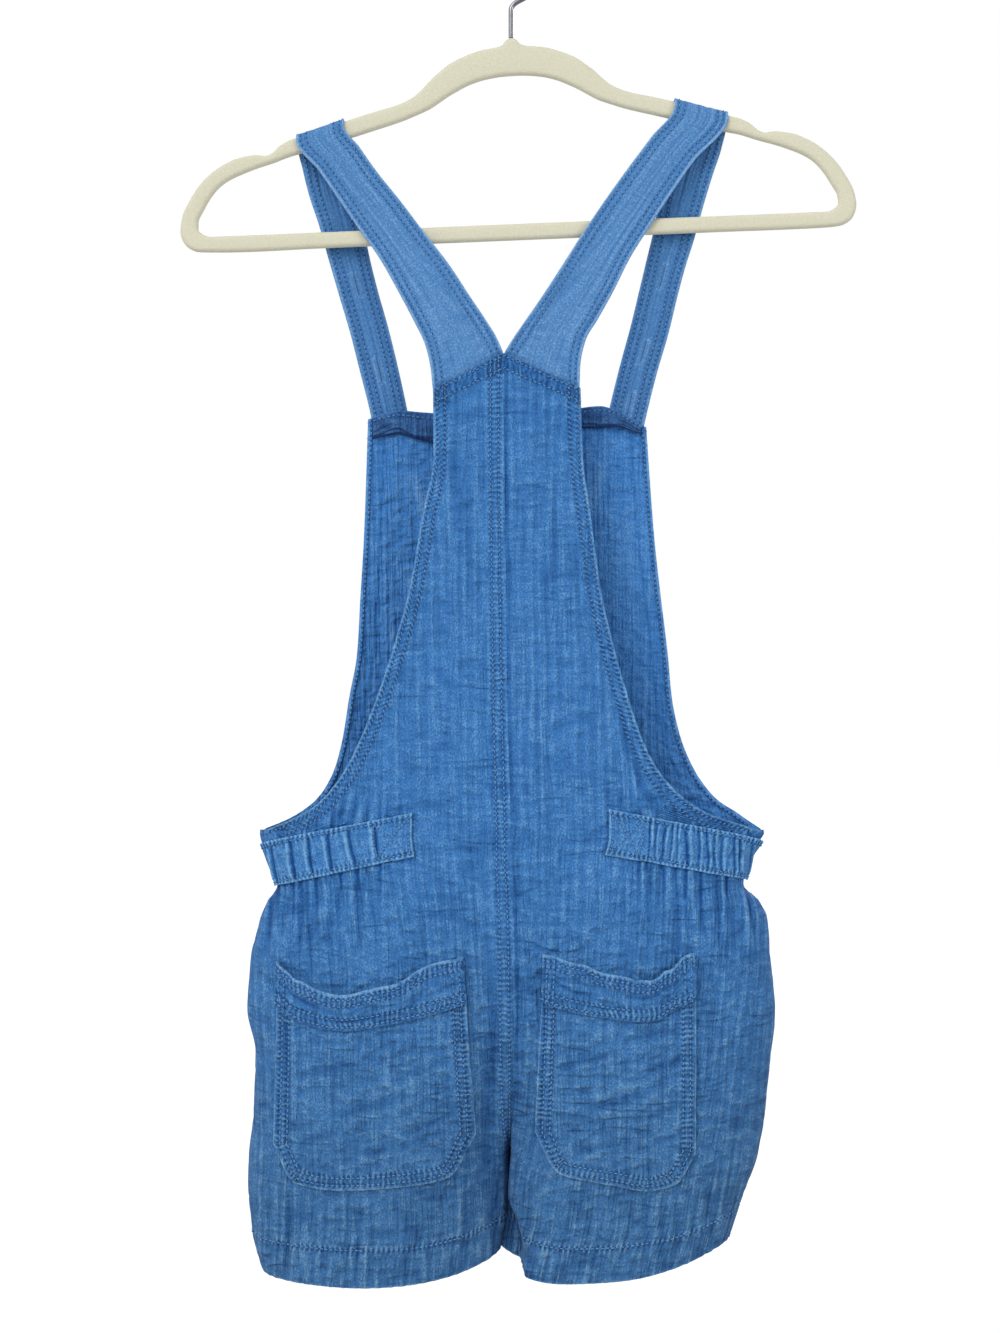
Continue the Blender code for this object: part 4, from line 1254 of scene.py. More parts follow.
def pocket_outline(side):
    """A pocket's edge, from the top of one side round the bottom to the top of the other."""
    shape = POCKETS[side]
    stations = np.linspace(0, 1, len(shape["x"]))
    a = np.linspace(0, 1, 60)
    foot = np.stack([smooth(stations, shape["foot_x"], a), smooth(stations, shape["bottom"], a)], axis=-1)
    first = [(shape["x"][0], shape["mouth"][0])]
    last = [(shape["x"][-1], shape["mouth"][-1])]
    return np.concatenate([first, foot, last])


def under_pocket(side, x, drop):
    """1 on the part of the seat that a pocket covers."""
    shape = POCKETS[side]
    left, right = shape["x"].min(), shape["x"].max()
    inside = eased(left, left + 8, x) * until(right - 8, right, x)
    within = np.clip(x, left, right)
    mouth, foot = (smooth(shape["x"], shape[edge], within) for edge in ("mouth", "bottom"))
    return inside * eased(mouth, mouth + 10, drop) * until(foot - 10, foot, drop)


def pocket_cloth(side, foot, rows, out):
    """Cloth that lies on the seat from a pocket's mouth to a column of its table."""
    shape = POCKETS[side]
    stations = np.linspace(0, 1, len(shape["x"]))
    a = in_row(1, POCKET_STEPS, POCKET_STEPS, 70)[None]
    b = in_row(1, POCKET_STEPS[:-1], POCKET_STEPS[:-1], rows)[:, None]
    frill = soft_noise(90 * a / 5, 0 * a, 45 if side == "left" else 46)
    mouth = smooth(stations, shape["mouth"], a) + 1.2 * frill
    drop = mouth + (smooth(stations, shape[foot], a) - mouth) * b
    whole = (drop - mouth) / (smooth(stations, shape["bottom"], a) - mouth)
    x = smooth(stations, shape["x"], a)
    x = x + (smooth(stations, shape["foot_x"], a) - x) * whole
    points = cloth_at("back", x, drop)
    lift = out + POCKET_SAG * np.sin(np.pi * a) * (1 - whole) ** 3 + 0.6 * frill * (1 - whole) ** 16
    points = points + outward(points) * lift[..., None]
    made = Cloth(points, x, drop)
    made.mouth = row_lengths(points, 0)
    made.foot = made.mouth[-1] - made.mouth
    made.sides = [row_lengths(points, 1), row_lengths(points[:, ::-1], 1)[:, ::-1]]
    made.outline, made.outline_run = line_distance(x, drop, pocket_outline(side))
    return made


def pocket(side):
    """A patch pocket: bag and top band, both with two rows of stitching all round."""
    made = pocket_cloth(side, "bottom", 78, PATCH_LAP)
    made.crinkle(f"pocket_{side}")
    made.crease(POCKET_CREASES[side], made.x, made.drop)
    made.sew("pocket", made.outline, made.outline_run)
    # The pocket's edge is painted pale, partly wear and partly highlight on the edge.
    made.wear += 0.9 * until(0.5, 1.5, made.outline)
    made.rounded(made.outline, made.mouth)
    made.settle()
    bag = made.as_piece(f"pocket_{side}_cloth", "gauze")
    for row in BANDS["pocket"]["rows"]:
        line = inset_line(pocket_outline(side), row, made.x.mean())
        stitched("pocket_stitches", laid_on(bag, line))

    made = pocket_cloth(side, "band", 20, PATCH_LAP * 2)
    made.crinkle("pocket_band")
    for at, seed in ((12.0, 43), (17.0, 44)):
        fold = at + 1.8 * soft_noise(made.across / 13, 0 * made.across, seed)
        shown = np.clip(0.55 + 0.9 * soft_noise(made.across / 17, 3 + 0 * made.across, seed), 0, 1)
        made.lift -= 0.9 * shown * near(made.mouth, fold, 1.1)
        # Each fold across the band is painted with shade.
        made.relief -= 1.9 * shown * near(made.mouth, fold, 0.9)
    made.sew("pocket_top", made.mouth, made.across)
    made.sew("pocket_band", made.foot, made.across)
    made.wear += 1.1 * until(1.0, 2.4, made.mouth)
    made.rounded(*made.sides, made.mouth, made.foot)
    made.settle()
    band = made.as_piece(f"pocket_band_{side}_cloth", "gauze")
    for sewn, distance in (("pocket_top", made.mouth), ("pocket_band", made.foot)):
        for row in BANDS[sewn]["rows"]:
            stitched("pocket_stitches", made.across_line(distance, row))
    for row in BANDS["pocket"]["rows"]:
        for distance in made.sides:
            stitched("pocket_stitches", made.down_line(distance, row))
    return bag, band


def inset_line(line, distance, middle_x):
    """A line moved in by a distance from an outline that goes down, across and up again."""
    along = unit(np.gradient(line, axis=0))
    sideways = np.stack([-along[:, 1], along[:, 0]], axis=-1)
    middle = np.array([middle_x, line[:, 1].min()])
    if ((line + sideways - middle) ** 2).sum() > ((line - sideways - middle) ** 2).sum():
        sideways = -sideways
    return line + sideways * distance


def laid_on(piece, line):
    """A line of (x, drop) places dropped onto a piece from behind, as places and facings."""
    mesh = piece.data
    tree = BVHTree.FromPolygons([v.co for v in mesh.vertices], [p.vertices for p in mesh.polygons])
    places, facings = [], []
    for x, drop in even_line(line, 0.8):
        hit, normal, _, _ = tree.ray_cast(Vector((x * MM, BEHIND, -drop * MM)), Vector((0, 1, 0)))
        if hit is not None:
            places.append(np.array(hit) / MM)
            facings.append(np.array(normal if normal.y < 0 else -normal))
    return np.array(places).reshape(-1, 3), np.array(facings).reshape(-1, 3)


def tab_cloth(side):
    """A waist tab's cloth from the side seam to its inner end, and its distances from its edges."""
    tab = TABS[side]
    reach = float(share_at(side, tab["inner_x"], np.mean(tab["inner"])))
    fine, walked = level_line("back", side, float(np.mean(tab["side"])), 400)
    length = np.interp(reach, fine, walked)
    steps = in_row(length, (0, 0.3, 0.8), (0, 0.15, 0.4, 0.8, 1.4, 2.2), int(length / 0.8))
    shares = np.interp(steps, walked, fine)
    along = steps / length
    top = tab["side"][0] + (tab["inner"][0] - tab["side"][0]) * along
    foot = tab["side"][1] + (tab["inner"][1] - tab["side"][1]) * along
    depth = float(tab["inner"][1] - tab["inner"][0])
    downs = in_row(depth, (0, 0.15, 0.4, 0.8, 1.6), (0, 0.15, 0.4, 0.8, 1.6), 17) / depth
    points = np.array([cloth("back", side, shares, top + (foot - top) * down) for down in downs])
    points = points + outward(points) * PATCH_LAP
    made = Cloth(points, np.broadcast_to(steps, points.shape[:2]), downs[:, None] * depth + 0 * steps)
    made.depth = depth
    made.edge = np.minimum(made.down, depth - made.down)
    made.end = length - made.across
    return made


def waist_tab(side):
    """An elastic casing, drawn up in gathers, with a flat stitched box at its inner end."""
    made, box = tab_cloth(side), TABS[side]["box"]
    gathered = eased(0.8, 5.5, made.edge)
    held = 0.25 + 0.75 * gathered
    stretch = np.gradient(made.across, axis=1) / np.abs(np.gradient(made.x, axis=1))
    outwards = 1 if side == "right" else -1
    for top_x, foot_x, width, height in zip(*GATHERS[side].values()):
        line = top_x + (foot_x - top_x) * made.down / made.depth
        off = (line - made.x) * outwards * np.clip(stretch, 0, 3)
        off = off + 0.3 * np.sin(made.down / 4 + top_x)
        ridge, valley = near(off, 0, 0.42 * width), near(off, 0.7 * width, 0.3 * width)
        made.lift += height * held * (ridge - 0.8 * valley)
        # Painted light and shade: pale gather ridges, dark valleys beside them.
        made.relief += held * (1.4 * ridge - 2.6 * valley)
    pucker = wave(made.end, TAB_RIPPLE) * (1 - gathered) * eased(box - 2, box + 2, made.end)
    made.lift += 0.25 * pucker
    # Painted light and shade on the puckers by the stitched box.
    made.relief += 1.2 * pucker
    made.crinkle("waist_tab")
    made.sew("tab", made.edge, made.end)
    # The tab is painted paler along its edges, its end and a little all over, partly wear and partly
    # highlight.
    made.wear += 0.75 * until(0.5, 2.0, made.edge) + 0.25
    made.wear += 0.5 * until(0.5, 1.6, made.end)
    made.rounded(made.edge, made.end)
    made.settle(held_behind(side))
    low = BANDS["tab"]["rows"][0]
    high = made.depth - low
    for row in (low, high):
        stitched("tab_stitches", made.across_line(made.down, row))
    ends = (((box, low), (box, high)), ((TAB_END_ROW, high), (TAB_END_ROW, low)))
    cross = (((TAB_END_ROW, low), (box, high)), ((box, low), (TAB_END_ROW, high)))
    for line in (*ends, *cross):
        from_end, down = even_line(np.array(line, float), 0.7).T
        columns = np.interp(-from_end, -made.end[0], np.arange(made.end.shape[1]))
        rows = np.interp(down, made.down[:, 0], np.arange(len(made.down)))
        stitched("tab_stitches", made.at(rows, columns), pitch=2.4)
    return made.as_piece(f"waist_tab_{side}_cloth", "gauze")


def held_behind(side):
    """Keeps a tab's cloth behind the side seam that it is sewn into."""

    def hold(points):
        drop = -points[..., 2]
        seam = body(side + "_y", drop) * (1 - share_at(side, points[..., 0], drop))
        held = points.copy()
        held[..., 1] = np.minimum(held[..., 1], seam - GAP / 2)
        return held

    return hold


def bib_facing():
    """The band folded to the inside of the bib, whose lower edge bows and stands off a little."""
    width = FACING_ENDS[1] - FACING_ENDS[0]
    x = in_row(width, (0, 0.2, 0.6, 1.4), (0, 0.2, 0.6, 1.4), 88) + FACING_ENDS[0]
    downs = in_row(FACING_DEPTH, (0, 0.2, 0.6), (0, 0.15, 0.4, 0.8, 1.4), 18)
    top = smooth(BIB_TOP["x"], BIB_TOP["drop"], x) + FACING_INSET
    bow = np.interp(x, FACING_BOWS["x"], FACING_BOWS["extra"])
    rows = [cloth_at("front", x, top + (FACING_DEPTH + bow) / FACING_DEPTH * down) for down in downs]
    points = np.array(rows)
    points = points - outward(points) * LAP
    made = Cloth(points, np.broadcast_to(x, points.shape[:2]), downs[:, None] + 0 * x, outward(points))
    made.foot = FACING_DEPTH - made.down
    made.crinkle("bib_facing")
    made.lift -= 1.4 * until(0.5, 5, made.foot) * (0.6 + 0.4 * np.sin(x / 9))
    made.crease(FACING_CREASES, x[None] + 0 * made.down, made.down)
    rolled = 2.6 + 1.3 * soft_noise(x / 13, 0 * x, 63)
    made.lift += 0.9 * near(made.foot, rolled + 2.4, 1.6)
    # Painted shadow along the crease under the rolled lower edge, and along the lower edge itself.
    made.relief -= 2.4 * near(made.foot, rolled, 0.8)
    made.relief -= 3.0 * until(0.8, 2.0, made.foot)
    made.relief *= -1  # the side that shows is the inner one
    made.rounded(made.foot, made.down)
    made.settle()
    stitched("front_stitches", made.across_line(made.down, 2.4, "inner"))
    return made.as_piece("bib_facing_cloth", "gauze_facing_painted_shade")


def hanger_pairs():
    """Outer and inner points all the way round the hanger, tilted and in place."""
    half = np.stack(list(HANGER.values()), axis=-1)
    mirrored = half[:0:-1] * (-1, 1, -1, 1)
    pairs = np.concatenate([half, mirrored]).reshape(-1, 2, 2)
    return tilted(pairs)


def tilted(points):
    """Places on the hanger, (x, drop) from its neck, as (x, drop) from the rail point."""
    x, drop = points[..., 0], points[..., 1]
    bowed = ARM_LIFT * np.sin(np.pi * np.clip(x / HANGER_HALF_SPAN, 0, 1))
    drop = drop - bowed * until(*ARM_FOOT, drop)
    turned_x = x * math.cos(HANGER_TILT) + drop * math.sin(HANGER_TILT)
    turned_drop = drop * math.cos(HANGER_TILT) - x * math.sin(HANGER_TILT)
    return np.stack([turned_x, turned_drop + HANGER_NECK_DROP], axis=-1)


def arm_top(x):
    """Drop of the hanger's upper edge."""
    outer = hanger_pairs()[:, 0]
    upper = outer[outer[:, 1] < HANGER_NECK_DROP + ARM_FOOT[1] - 2]
    upper = upper[np.argsort(upper[:, 0])]
    return np.interp(x, upper[:, 0], upper[:, 1])


def strap_sections(strap, columns):
    """Places (x, drop) across a strap, from its arm edge to its neck edge, at each of its sections."""
    arm = np.stack([strap["arm_x"], strap["arm_drop"]], axis=-1)[:, None]
    neck = np.stack([strap["neck_x"], strap["neck_drop"]], axis=-1)[:, None]
    return arm + (neck - arm) * np.linspace(0, 1, columns)[:, None]


def eased_onto(face, place, panel_top, lap):
    """y of a strap that leaves the hanger and comes to lie on a panel."""
    x, drop = place[:, 0], place[:, 1]
    reach = np.clip((drop - STRAP_LEAVES_DROP) / (panel_top - STRAP_LEAVES_DROP), 0, 1)
    seat = cloth_at(face, x, np.maximum(drop, panel_top))[:, 1] + lap
    return sign_of(face) * STRAP_WRAP_RADIUS * (1 - reach) + seat * reach


def strap_middle(side, columns):
    """Rows of points along a strap, from under the yoke over the hanger to its end on the bib."""
    rows = []
    back = strap_sections(STRAP_BACK[side], columns)
    under = back[0] + unit(back[0] - back[1]) * YOKE_UNDER
    for place in (under, *back):
        rows.append((place, eased_onto("back", place, YOKE_DROP, 0)))
    top_x = np.linspace(*STRAP_TOP[side], columns)
    for angle in np.radians(np.arange(0, 181, 15)):
        drop = arm_top(top_x) + HANGER_HALF_WALL - STRAP_WRAP_RADIUS * math.sin(angle)
        y = np.full(columns, -STRAP_WRAP_RADIUS * math.cos(angle))
        rows.append((np.stack([top_x, drop], axis=-1), y))
    for place in strap_sections(STRAP_FRONT[side], columns):
        rows.append((place, eased_onto("front", place, float(BIB_TOP["drop"].min()), STRAP_LAP)))
    coarse = np.array([np.stack([place[:, 0], y, -place[:, 1]], axis=-1) for place, y in rows])
    walked = row_lengths(coarse, 0)[:, columns // 2]
    length = walked[-1]
    stops = in_row(length, (0, 1.2, 2.4, 3.6, 5), (0, 0.15, 0.4, 0.8, 1.5, 2.6), int(length / 2.0))
    return carried(walked, coarse, stops), stops


def strap_cloth(side):
    """A strap's cloth, and its distances from its edge towards the arm, the neck and its end."""
    coarse, stops = strap_middle(side, 9)
    rows, across = [], []
    for row in coarse:
        walked = row_lengths(row)
        steps = in_row(walked[-1], STRAP_STEPS, STRAP_STEPS, 9)
        rows.append(between(steps, walked, row))
        across.append(steps)
    points, across = np.array(rows), np.array(across)
    normals = ribbon_normals(points)
    top = int(np.argmax(points[:, 0, 2]))
    normals *= np.sign(normals[top, :, 2].sum())
    made = Cloth(points, across - across[:, -1:] / 2, stops[:, None] + 0 * across, normals)
    made.arm = across
    made.neck = across[:, -1:] - across
    made.end = stops[-1] - made.down
    return made


def strap(side):
    """A strap with two rows of stitching along both edges and worked buttonholes in front."""
    made = strap_cloth(side)
    edge = np.minimum(made.arm, made.neck)
    in_front = eased(-1, 1, made.points[..., 1])
    made.crinkle(f"strap_{side}", crossed=0.3)
    ribs = near(edge, 12.5, 4.0) * wave(made.arm, STRAP_RIB)
    made.lift += 0.12 * ribs
    # Painted light and shade on the ribs down the strap.
    made.relief += 0.35 * ribs
    made.lift -= 1.7 * until(YOKE_UNDER - 0.5, YOKE_UNDER + 2.0, made.down)
    made.sew("strap_arm", made.arm, made.down)
    made.sew("strap_neck", made.neck, made.down)
    made.sew("strap_end", made.end, made.arm)
    # The strap's front part is painted darker: painted shade.
    made.wear -= 0.35 * in_front
    for hole_drop in BUTTONHOLES[side]:
        off = (made.drop - hole_drop) * in_front + 99 * (1 - in_front)
        rim = until(HOLE_REACH, HOLE_REACH + 2, np.abs(off))
        slit = until(HOLE_REACH - 1, HOLE_REACH, np.abs(off))
        slot = near(np.abs(made.across), 1.4, 1.0) * rim
        made.lift += 0.35 * slot
        # The raised rim of each buttonhole is painted pale, and its slit dark with painted shade.
        made.wear += 1.8 * slot
        made.wear -= 2.0 * near(made.across, 0, 0.5) * slit
    made.rounded(edge, made.end)
    made.settle(held_to_half("back", side))
    rows = BANDS["strap_arm"]["rows"]
    for row in rows:
        for distance in (made.arm, made.neck):
            for wall in ("outer", "inner"):
                stitched("strap_stitches", made.down_line(distance, row, wall))
    stitched("strap_stitches", made.across_line(made.end, rows[0]))
    for hole_drop in BUTTONHOLES[side]:
        for wall in ("outer", "inner"):
            worked_hole(made, hole_drop, wall)
    return made.as_piece(f"strap_{side}_cloth", "gauze_strap"), made


def worked_hole(made, drop, wall):
    """Close stitches down both sides of a buttonhole, on one wall of a strap."""
    middle = made.points.shape[1] // 2
    front = np.flatnonzero(made.points[:, middle, 1] > 0)
    drops = -made.points[front, middle, 2]
    for shift in (-1.5, 1.5):
        rows = np.interp(np.linspace(drop - HOLE_REACH, drop + HOLE_REACH, 16), drops, front)
        columns = np.array([
            np.interp(shift, made.across[int(r)], np.arange(made.points.shape[1])) for r in rows
        ])
        places, facings = made.at(rows, columns, wall)
        sideways = unit(np.cross(facings, np.gradient(places, axis=0)))
        STITCHES.setdefault("buttonhole_stitches", []).append(
            (places + facings * 0.1, facings, sideways, sideways)
        )


def in_scene(name, data):
    """A new object in the scene."""
    made = bpy.data.objects.new(name, data)
    bpy.context.scene.collection.objects.link(made)
    return made


def solid(name, vertices, faces, finish):
    """One closed mesh object, turned so that its faces look out."""
    vertices = np.asarray(vertices, float) * MM
    mesh = bpy.data.meshes.new(name)
    mesh.from_pydata(vertices.tolist(), [], faces)
    mesh.calc_loop_triangles()
    corners = vertices[np.array([list(t.vertices) for t in mesh.loop_triangles])]
    if np.linalg.det(corners).sum() < 0:
        mesh.flip_normals()
    mesh.materials.append(FINISHES[finish])
    mesh.shade_smooth()
    mesh.set_sharp_from_angle(angle=math.radians(40))
    return in_scene(name, mesh)


def tube(name, rings, finish, loop=False):
    """Rings of points joined in order, with flat ends or round again to the first.

    Rings that are held in several rows make as many tubes.
    """
    count, size = rings.shape[-3:-1]
    faces = []
    for start in range(0, rings.size // 3, count * size):
        for r in range(count if loop else count - 1):
            here, there = start + r * size, start + (r + 1) % count * size
            for k in range(size):
                n = (k + 1) % size
                faces.append((here + k, here + n, there + n, there + k))
        if not loop:
            faces.append(tuple(start + k for k in range(size - 1, -1, -1)))
            faces.append(tuple(start + (count - 1) * size + k for k in range(size)))
    return solid(name, rings.reshape(-1, 3), faces, finish)


def hanger_body():
    """The flocked loop: arms, notches and bar, with a fully rounded edge all the way round."""
    pairs = hanger_pairs()
    closed = np.concatenate([pairs, pairs[:1]])
    walked = row_lengths(closed.mean(axis=1))
    stops = np.arange(0, walked[-1], 2.2)
    fine = carried(walked, closed, stops)
    outer, inner = fine[:, :1], fine[:, 1:]
    width = np.linalg.norm(inner - outer, axis=-1)
    across = (inner - outer) / width[..., None]
    angles = np.radians(np.linspace(-90, 90, 11))
    inset = np.minimum(HANGER_HALF_WALL, width / 2) * (1 - np.cos(angles))
    halves = []
    for edge, sign in ((outer, 1), (inner, -1)):
        place = edge + sign * across * inset[..., None]
        y = sign * HANGER_HALF_WALL * np.sin(angles) + 0 * inset
        halves.append(np.stack([place[..., 0], y, -place[..., 1]], axis=-1))
    return tube("hanger_loop", np.concatenate(halves, axis=1), "flocking", loop=True)


def arc(centre, radius, start, end, count):
    """Points on an arc, (x, drop), with angles in degrees anticlockwise from +X."""
    angles = np.radians(np.linspace(start, end, count))
    return np.stack([centre[0] + radius * np.cos(angles), centre[1] - radius * np.sin(angles)], axis=-1)


def hanger_hook():
    """The swivel wire, from the hanger's neck up its shank and over, with a rounded tip."""
    middle = HOOK_RADIUS + WIRE_RADIUS
    over = arc((0.0, HOOK_RADIUS), middle, -38, 205, 90)
    shank = np.stack([np.zeros(12), np.linspace(HANGER_NECK_DROP - GAP, 44, 12)], axis=-1)
    ease = np.linspace(0, 1, 20)[1:-1, None]
    start, end = shank[-1], over[0]
    bow = (1 - ease) ** 3 * start + 3 * (1 - ease) ** 2 * ease * (start + (0, -7))
    bow = bow + 3 * (1 - ease) * ease**2 * (end + (-6.0, 7.5)) + ease**3 * end
    path = np.concatenate([shank, bow, over])
    along = unit(np.gradient(path, axis=0))
    from_tip = row_lengths(path[::-1])[::-1]
    radii = WIRE_RADIUS * np.sqrt(np.clip(1 - (1 - np.clip(from_tip / WIRE_RADIUS, 0, 1)) ** 2, 0.02, 1))
    angles = np.radians(np.arange(0, 360, 15))
    y, aside = radii[:, None] * np.sin(angles), radii[:, None] * np.cos(angles)
    x = path[:, :1] - along[:, 1:] * aside
    drop = path[:, 1:] + along[:, :1] * aside
    return tube("hanger_hook_wire", np.stack([x, y, -drop], axis=-1), "chrome")


def made_plain(piece):
    """Replaces a piece's mesh and modifiers with the mesh that they make."""
    graph = bpy.context.evaluated_depsgraph_get()
    mesh = bpy.data.meshes.new_from_object(piece.evaluated_get(graph))
    piece.modifiers.clear()
    piece.data = mesh
    return mesh


def button(side, laid):
    """A rimmed four-hole button sewn through the end of its strap, and its thread."""
    middle = laid.points.shape[1] // 2
    line = laid.points[:, middle]
    front = np.flatnonzero(line[:, 1] > 0)
    row = np.interp(BUTTON_DROP, -line[front, 2], front)
    surface, facing = laid.at(np.array([row]), np.array([float(middle)]))
    place, facing = surface[0] + facing[0] * 0.55, facing[0]
    turn = Vector(facing).to_track_quat("Z", "Y").to_matrix()
    angles = np.linspace(0, 2 * math.pi, 48, endpoint=False)
    rings = [[(r * math.cos(t), r * math.sin(t), height) for t in angles] for r, height in BUTTON_PROFILE]
    disc = tube(f"button_{side}_disc", np.array(rings), "resin")
    for quarter in (45, 135, 225, 315):
        centre = arc((0, 0), THREAD_HOLE_SPREAD, quarter, quarter, 1)[0]
        circle = arc((0, 0), THREAD_HOLE_RADIUS, 0, 345, 24)
        ends = (-BUTTON_WALL, 2 * BUTTON_WALL)
        walls = [[(*(centre + point), height) for point in circle] for height in ends]
        cutter = tube(f"hole_{side}_{quarter}", np.array(walls), "resin")
        cut = disc.modifiers.new("hole", "BOOLEAN")
        cut.operation = "DIFFERENCE"
        cut.solver = "EXACT"
        cut.object = cutter
    mesh = made_plain(disc)
    for cutter in [o for o in bpy.data.objects if o.name.startswith(f"hole_{side}_")]:
        bpy.data.objects.remove(cutter)
    placed = turn.to_4x4()
    placed.translation = Vector(place * MM)
    mesh.transform(placed)
    mesh.set_sharp_from_angle(angle=math.radians(30))
    reach = THREAD_HOLE_SPREAD * math.sqrt(0.5)
    t = np.linspace(-1, 1, 11)
    bow = BUTTON_WALL * 0.62 + 0.75 * (1 - t**4)
    lines = []
    for column in (-reach, reach):
        for shift in (-0.28, 0.28):
            path = np.stack([column + shift + 0 * t, reach * t, bow], axis=-1)
            lines.append(path @ np.array(turn).T + place)
    return disc, wound(f"button_{side}_thread", np.array(lines), 0.3)


def wound(name, lines, radius):
    """Round threads along lines of points, as one mesh."""
    along = unit(np.gradient(lines, axis=1))
    sideways = unit(np.cross(along, (0.3, 0.9, 0.2)))
    up = np.cross(sideways, along)
    angles = np.radians(np.arange(0, 360, 60))[:, None]
    around = np.cos(angles) * sideways[:, :, None] + np.sin(angles) * up[:, :, None]
    return tube(name, lines[:, :, None] + radius * around, "thread")


def add(tree, kind, inputs=None, stops=(), **settings):
    """Adds a node to a tree, sets it up with any colour stops, and feeds its sockets.

    A node among the inputs feeds its first output.
    """
    node = tree.nodes.new(kind)
    for key, value in settings.items():
        setattr(node, key, value)
    for k, (place, code) in enumerate(stops):
        held = node.color_ramp.elements
        stop = held[k] if k < len(held) else held.new(place)
        stop.position = place
        stop.color = linear(code)
    for socket, value in (inputs or {}).items():
        if isinstance(value, bpy.types.Node):
            value = value.outputs[0]
        if isinstance(value, bpy.types.NodeSocket):
            tree.links.new(value, node.inputs[socket])
        else:
            node.inputs[socket].default_value = value
    return node


def linear(code):
    """An sRGB hex colour as linear values."""
    values = [int(code[k : k + 2], 16) / 255 for k in (0, 2, 4)]
    values = [v / 12.92 if v <= 0.04045 else ((v + 0.055) / 1.055) ** 2.4 for v in values]
    return (*values, 1.0)


def finish_of(name):
    """A new empty material, and its tree."""
    made = bpy.data.materials.new(name)
    made.use_nodes = True
    made.node_tree.nodes.clear()
    return made, made.node_tree


def skinned(made, skin):
    """Gives a material its surface."""
    tree = made.node_tree
    surface = add(tree, "ShaderNodeBsdfPrincipled", skin)
    add(tree, "ShaderNodeOutputMaterial", {"Surface": surface})
    return made


def weighed(tree, found, weights, total=0.0):
    """The sum of the values that are named in weights, each times its weight."""
    for name, weight in weights.items():
        feeds = {0: found[name], 1: weight, 2: total}
        total = add(tree, "ShaderNodeMath", feeds, operation="MULTIPLY_ADD")
    return total


def worked_out(tree, found, steps):
    """Adds to the found values those that the steps work out from them, one after another.

    A step is a name, what to do, the value it starts from, and what goes with it. That is another
    value or a number, or for a range where it starts and ends, and what it gives there.
    """
    for name, how, start, other in steps:
        if how in ("LINEAR", "SMOOTHSTEP"):
            feeds = {0: found[start], **dict(enumerate(other, 1))}
            found[name] = add(tree, "ShaderNodeMapRange", feeds, interpolation_type=how)
        else:
            feeds = {0: found[start], 1: found.get(other, other)}
            found[name] = add(tree, "ShaderNodeMath", feeds, operation=how)
    return found


def gauze(name, shades, creased=1.0):
    """Crinkled cotton double gauze, yarn-dyed in chambray blues and washed.

    The warp is slubby and takes the dye unevenly, so the cloth is streaked down its length in
    lines of 1.5 to 2 mm. Its two layers are caught together at points, so it puckers into soft ribs
    down the warp, with broken creases across them. Their light and shade is painted into the colour,
    dark at the bottom of the creases and pale on the ridges, and painted shade lies in the grooves of
    the stitching. Washing has rubbed its edges pale, and that pale also stands in for the highlight
    on their rolled lips. The colour turns greyer and darker towards the bottom. It is matt, with the
    soft sheen of loose cotton fibre.
    """
    made, tree = finish_of(name)
    flat = add(tree, "ShaderNodeUVMap", uv_map="cloth")
    found = {"down": add(tree, "ShaderNodeSeparateXYZ", {"Vector": flat}).outputs["Y"]}
    for key in ("relief", "wear", "run", "band", "drawn"):
        found[key] = add(tree, "ShaderNodeAttribute", attribute_name=key).outputs["Fac"]
    for key, (scale, detail) in GAUZE_NOISES.items():
        placed = add(tree, "ShaderNodeMapping", {"Vector": flat, "Scale": scale})
        spread = {"Vector": placed, "Scale": 1.0, "Detail": detail, "Roughness": 0.55}
        found[key] = add(tree, "ShaderNodeTexNoise", spread, noise_dimensions="2D")
    worked_out(tree, found, [("lower", "LINEAR", "down", (0.5, 0.7, 0.6 * creased, creased))])
    worked_out(tree, found, GAUZE_STEPS)
    shade = weighed(tree, found, GAUZE_SHADE, SHADE_START)
    ramp = add(tree, "ShaderNodeValToRGB", {"Fac": shade}, stops=zip((0.0, 0.5, 1.0), shades))
    # The colour turns greyer and darker towards the bottom.
    colour = add(
        tree,
        "ShaderNodeMix",
        {"Factor": found["greyer_below"], "A": ramp, "B": (1.03, 0.85, 0.76, 1.0)},
        data_type="RGBA",
        blend_type="MULTIPLY",
    )
    height = weighed(tree, found, GAUZE_HEIGHT)
    return skinned(
        made,
        {
            "Base Color": colour.outputs[2],
            "Normal": add(tree, "ShaderNodeBump", {"Height": height, "Distance": MM, "Strength": 1.0}),
            "Roughness": 0.92,
            "IOR": 1.5,
            "Specular IOR Level": 0.25,
            "Sheen Weight": 0.08,
            "Sheen Roughness": 0.5,
            "Sheen Tint": linear("9DBBDD"),
        },
    )


def plain(name, noise, skin, stops=(), roughness=None, fibre=None):
    """A finish with one noise in it, that its shades, its roughness or both follow, and any fibre."""
    made, tree = finish_of(name)
    place = add(tree, "ShaderNodeTexCoord").outputs["Object"]
    grain = add(tree, "ShaderNodeTexNoise", {"Vector": place, **noise})
    if stops:
        skin["Base Color"] = add(tree, "ShaderNodeValToRGB", {"Fac": grain}, stops=stops)
    if roughness:
        spread = dict(zip(("To Min", "To Max"), roughness))
        skin["Roughness"] = add(tree, "ShaderNodeMapRange", {"Value": grain, **spread})
    if fibre:
        nap = add(tree, "ShaderNodeTexNoise", {"Vector": place, "Scale": fibre, "Detail": 2.0})
        raised = {"Height": nap, "Distance": 0.0003, "Strength": 0.6}
        skin["Normal"] = add(tree, "ShaderNodeBump", raised)
    return skinned(made, skin)


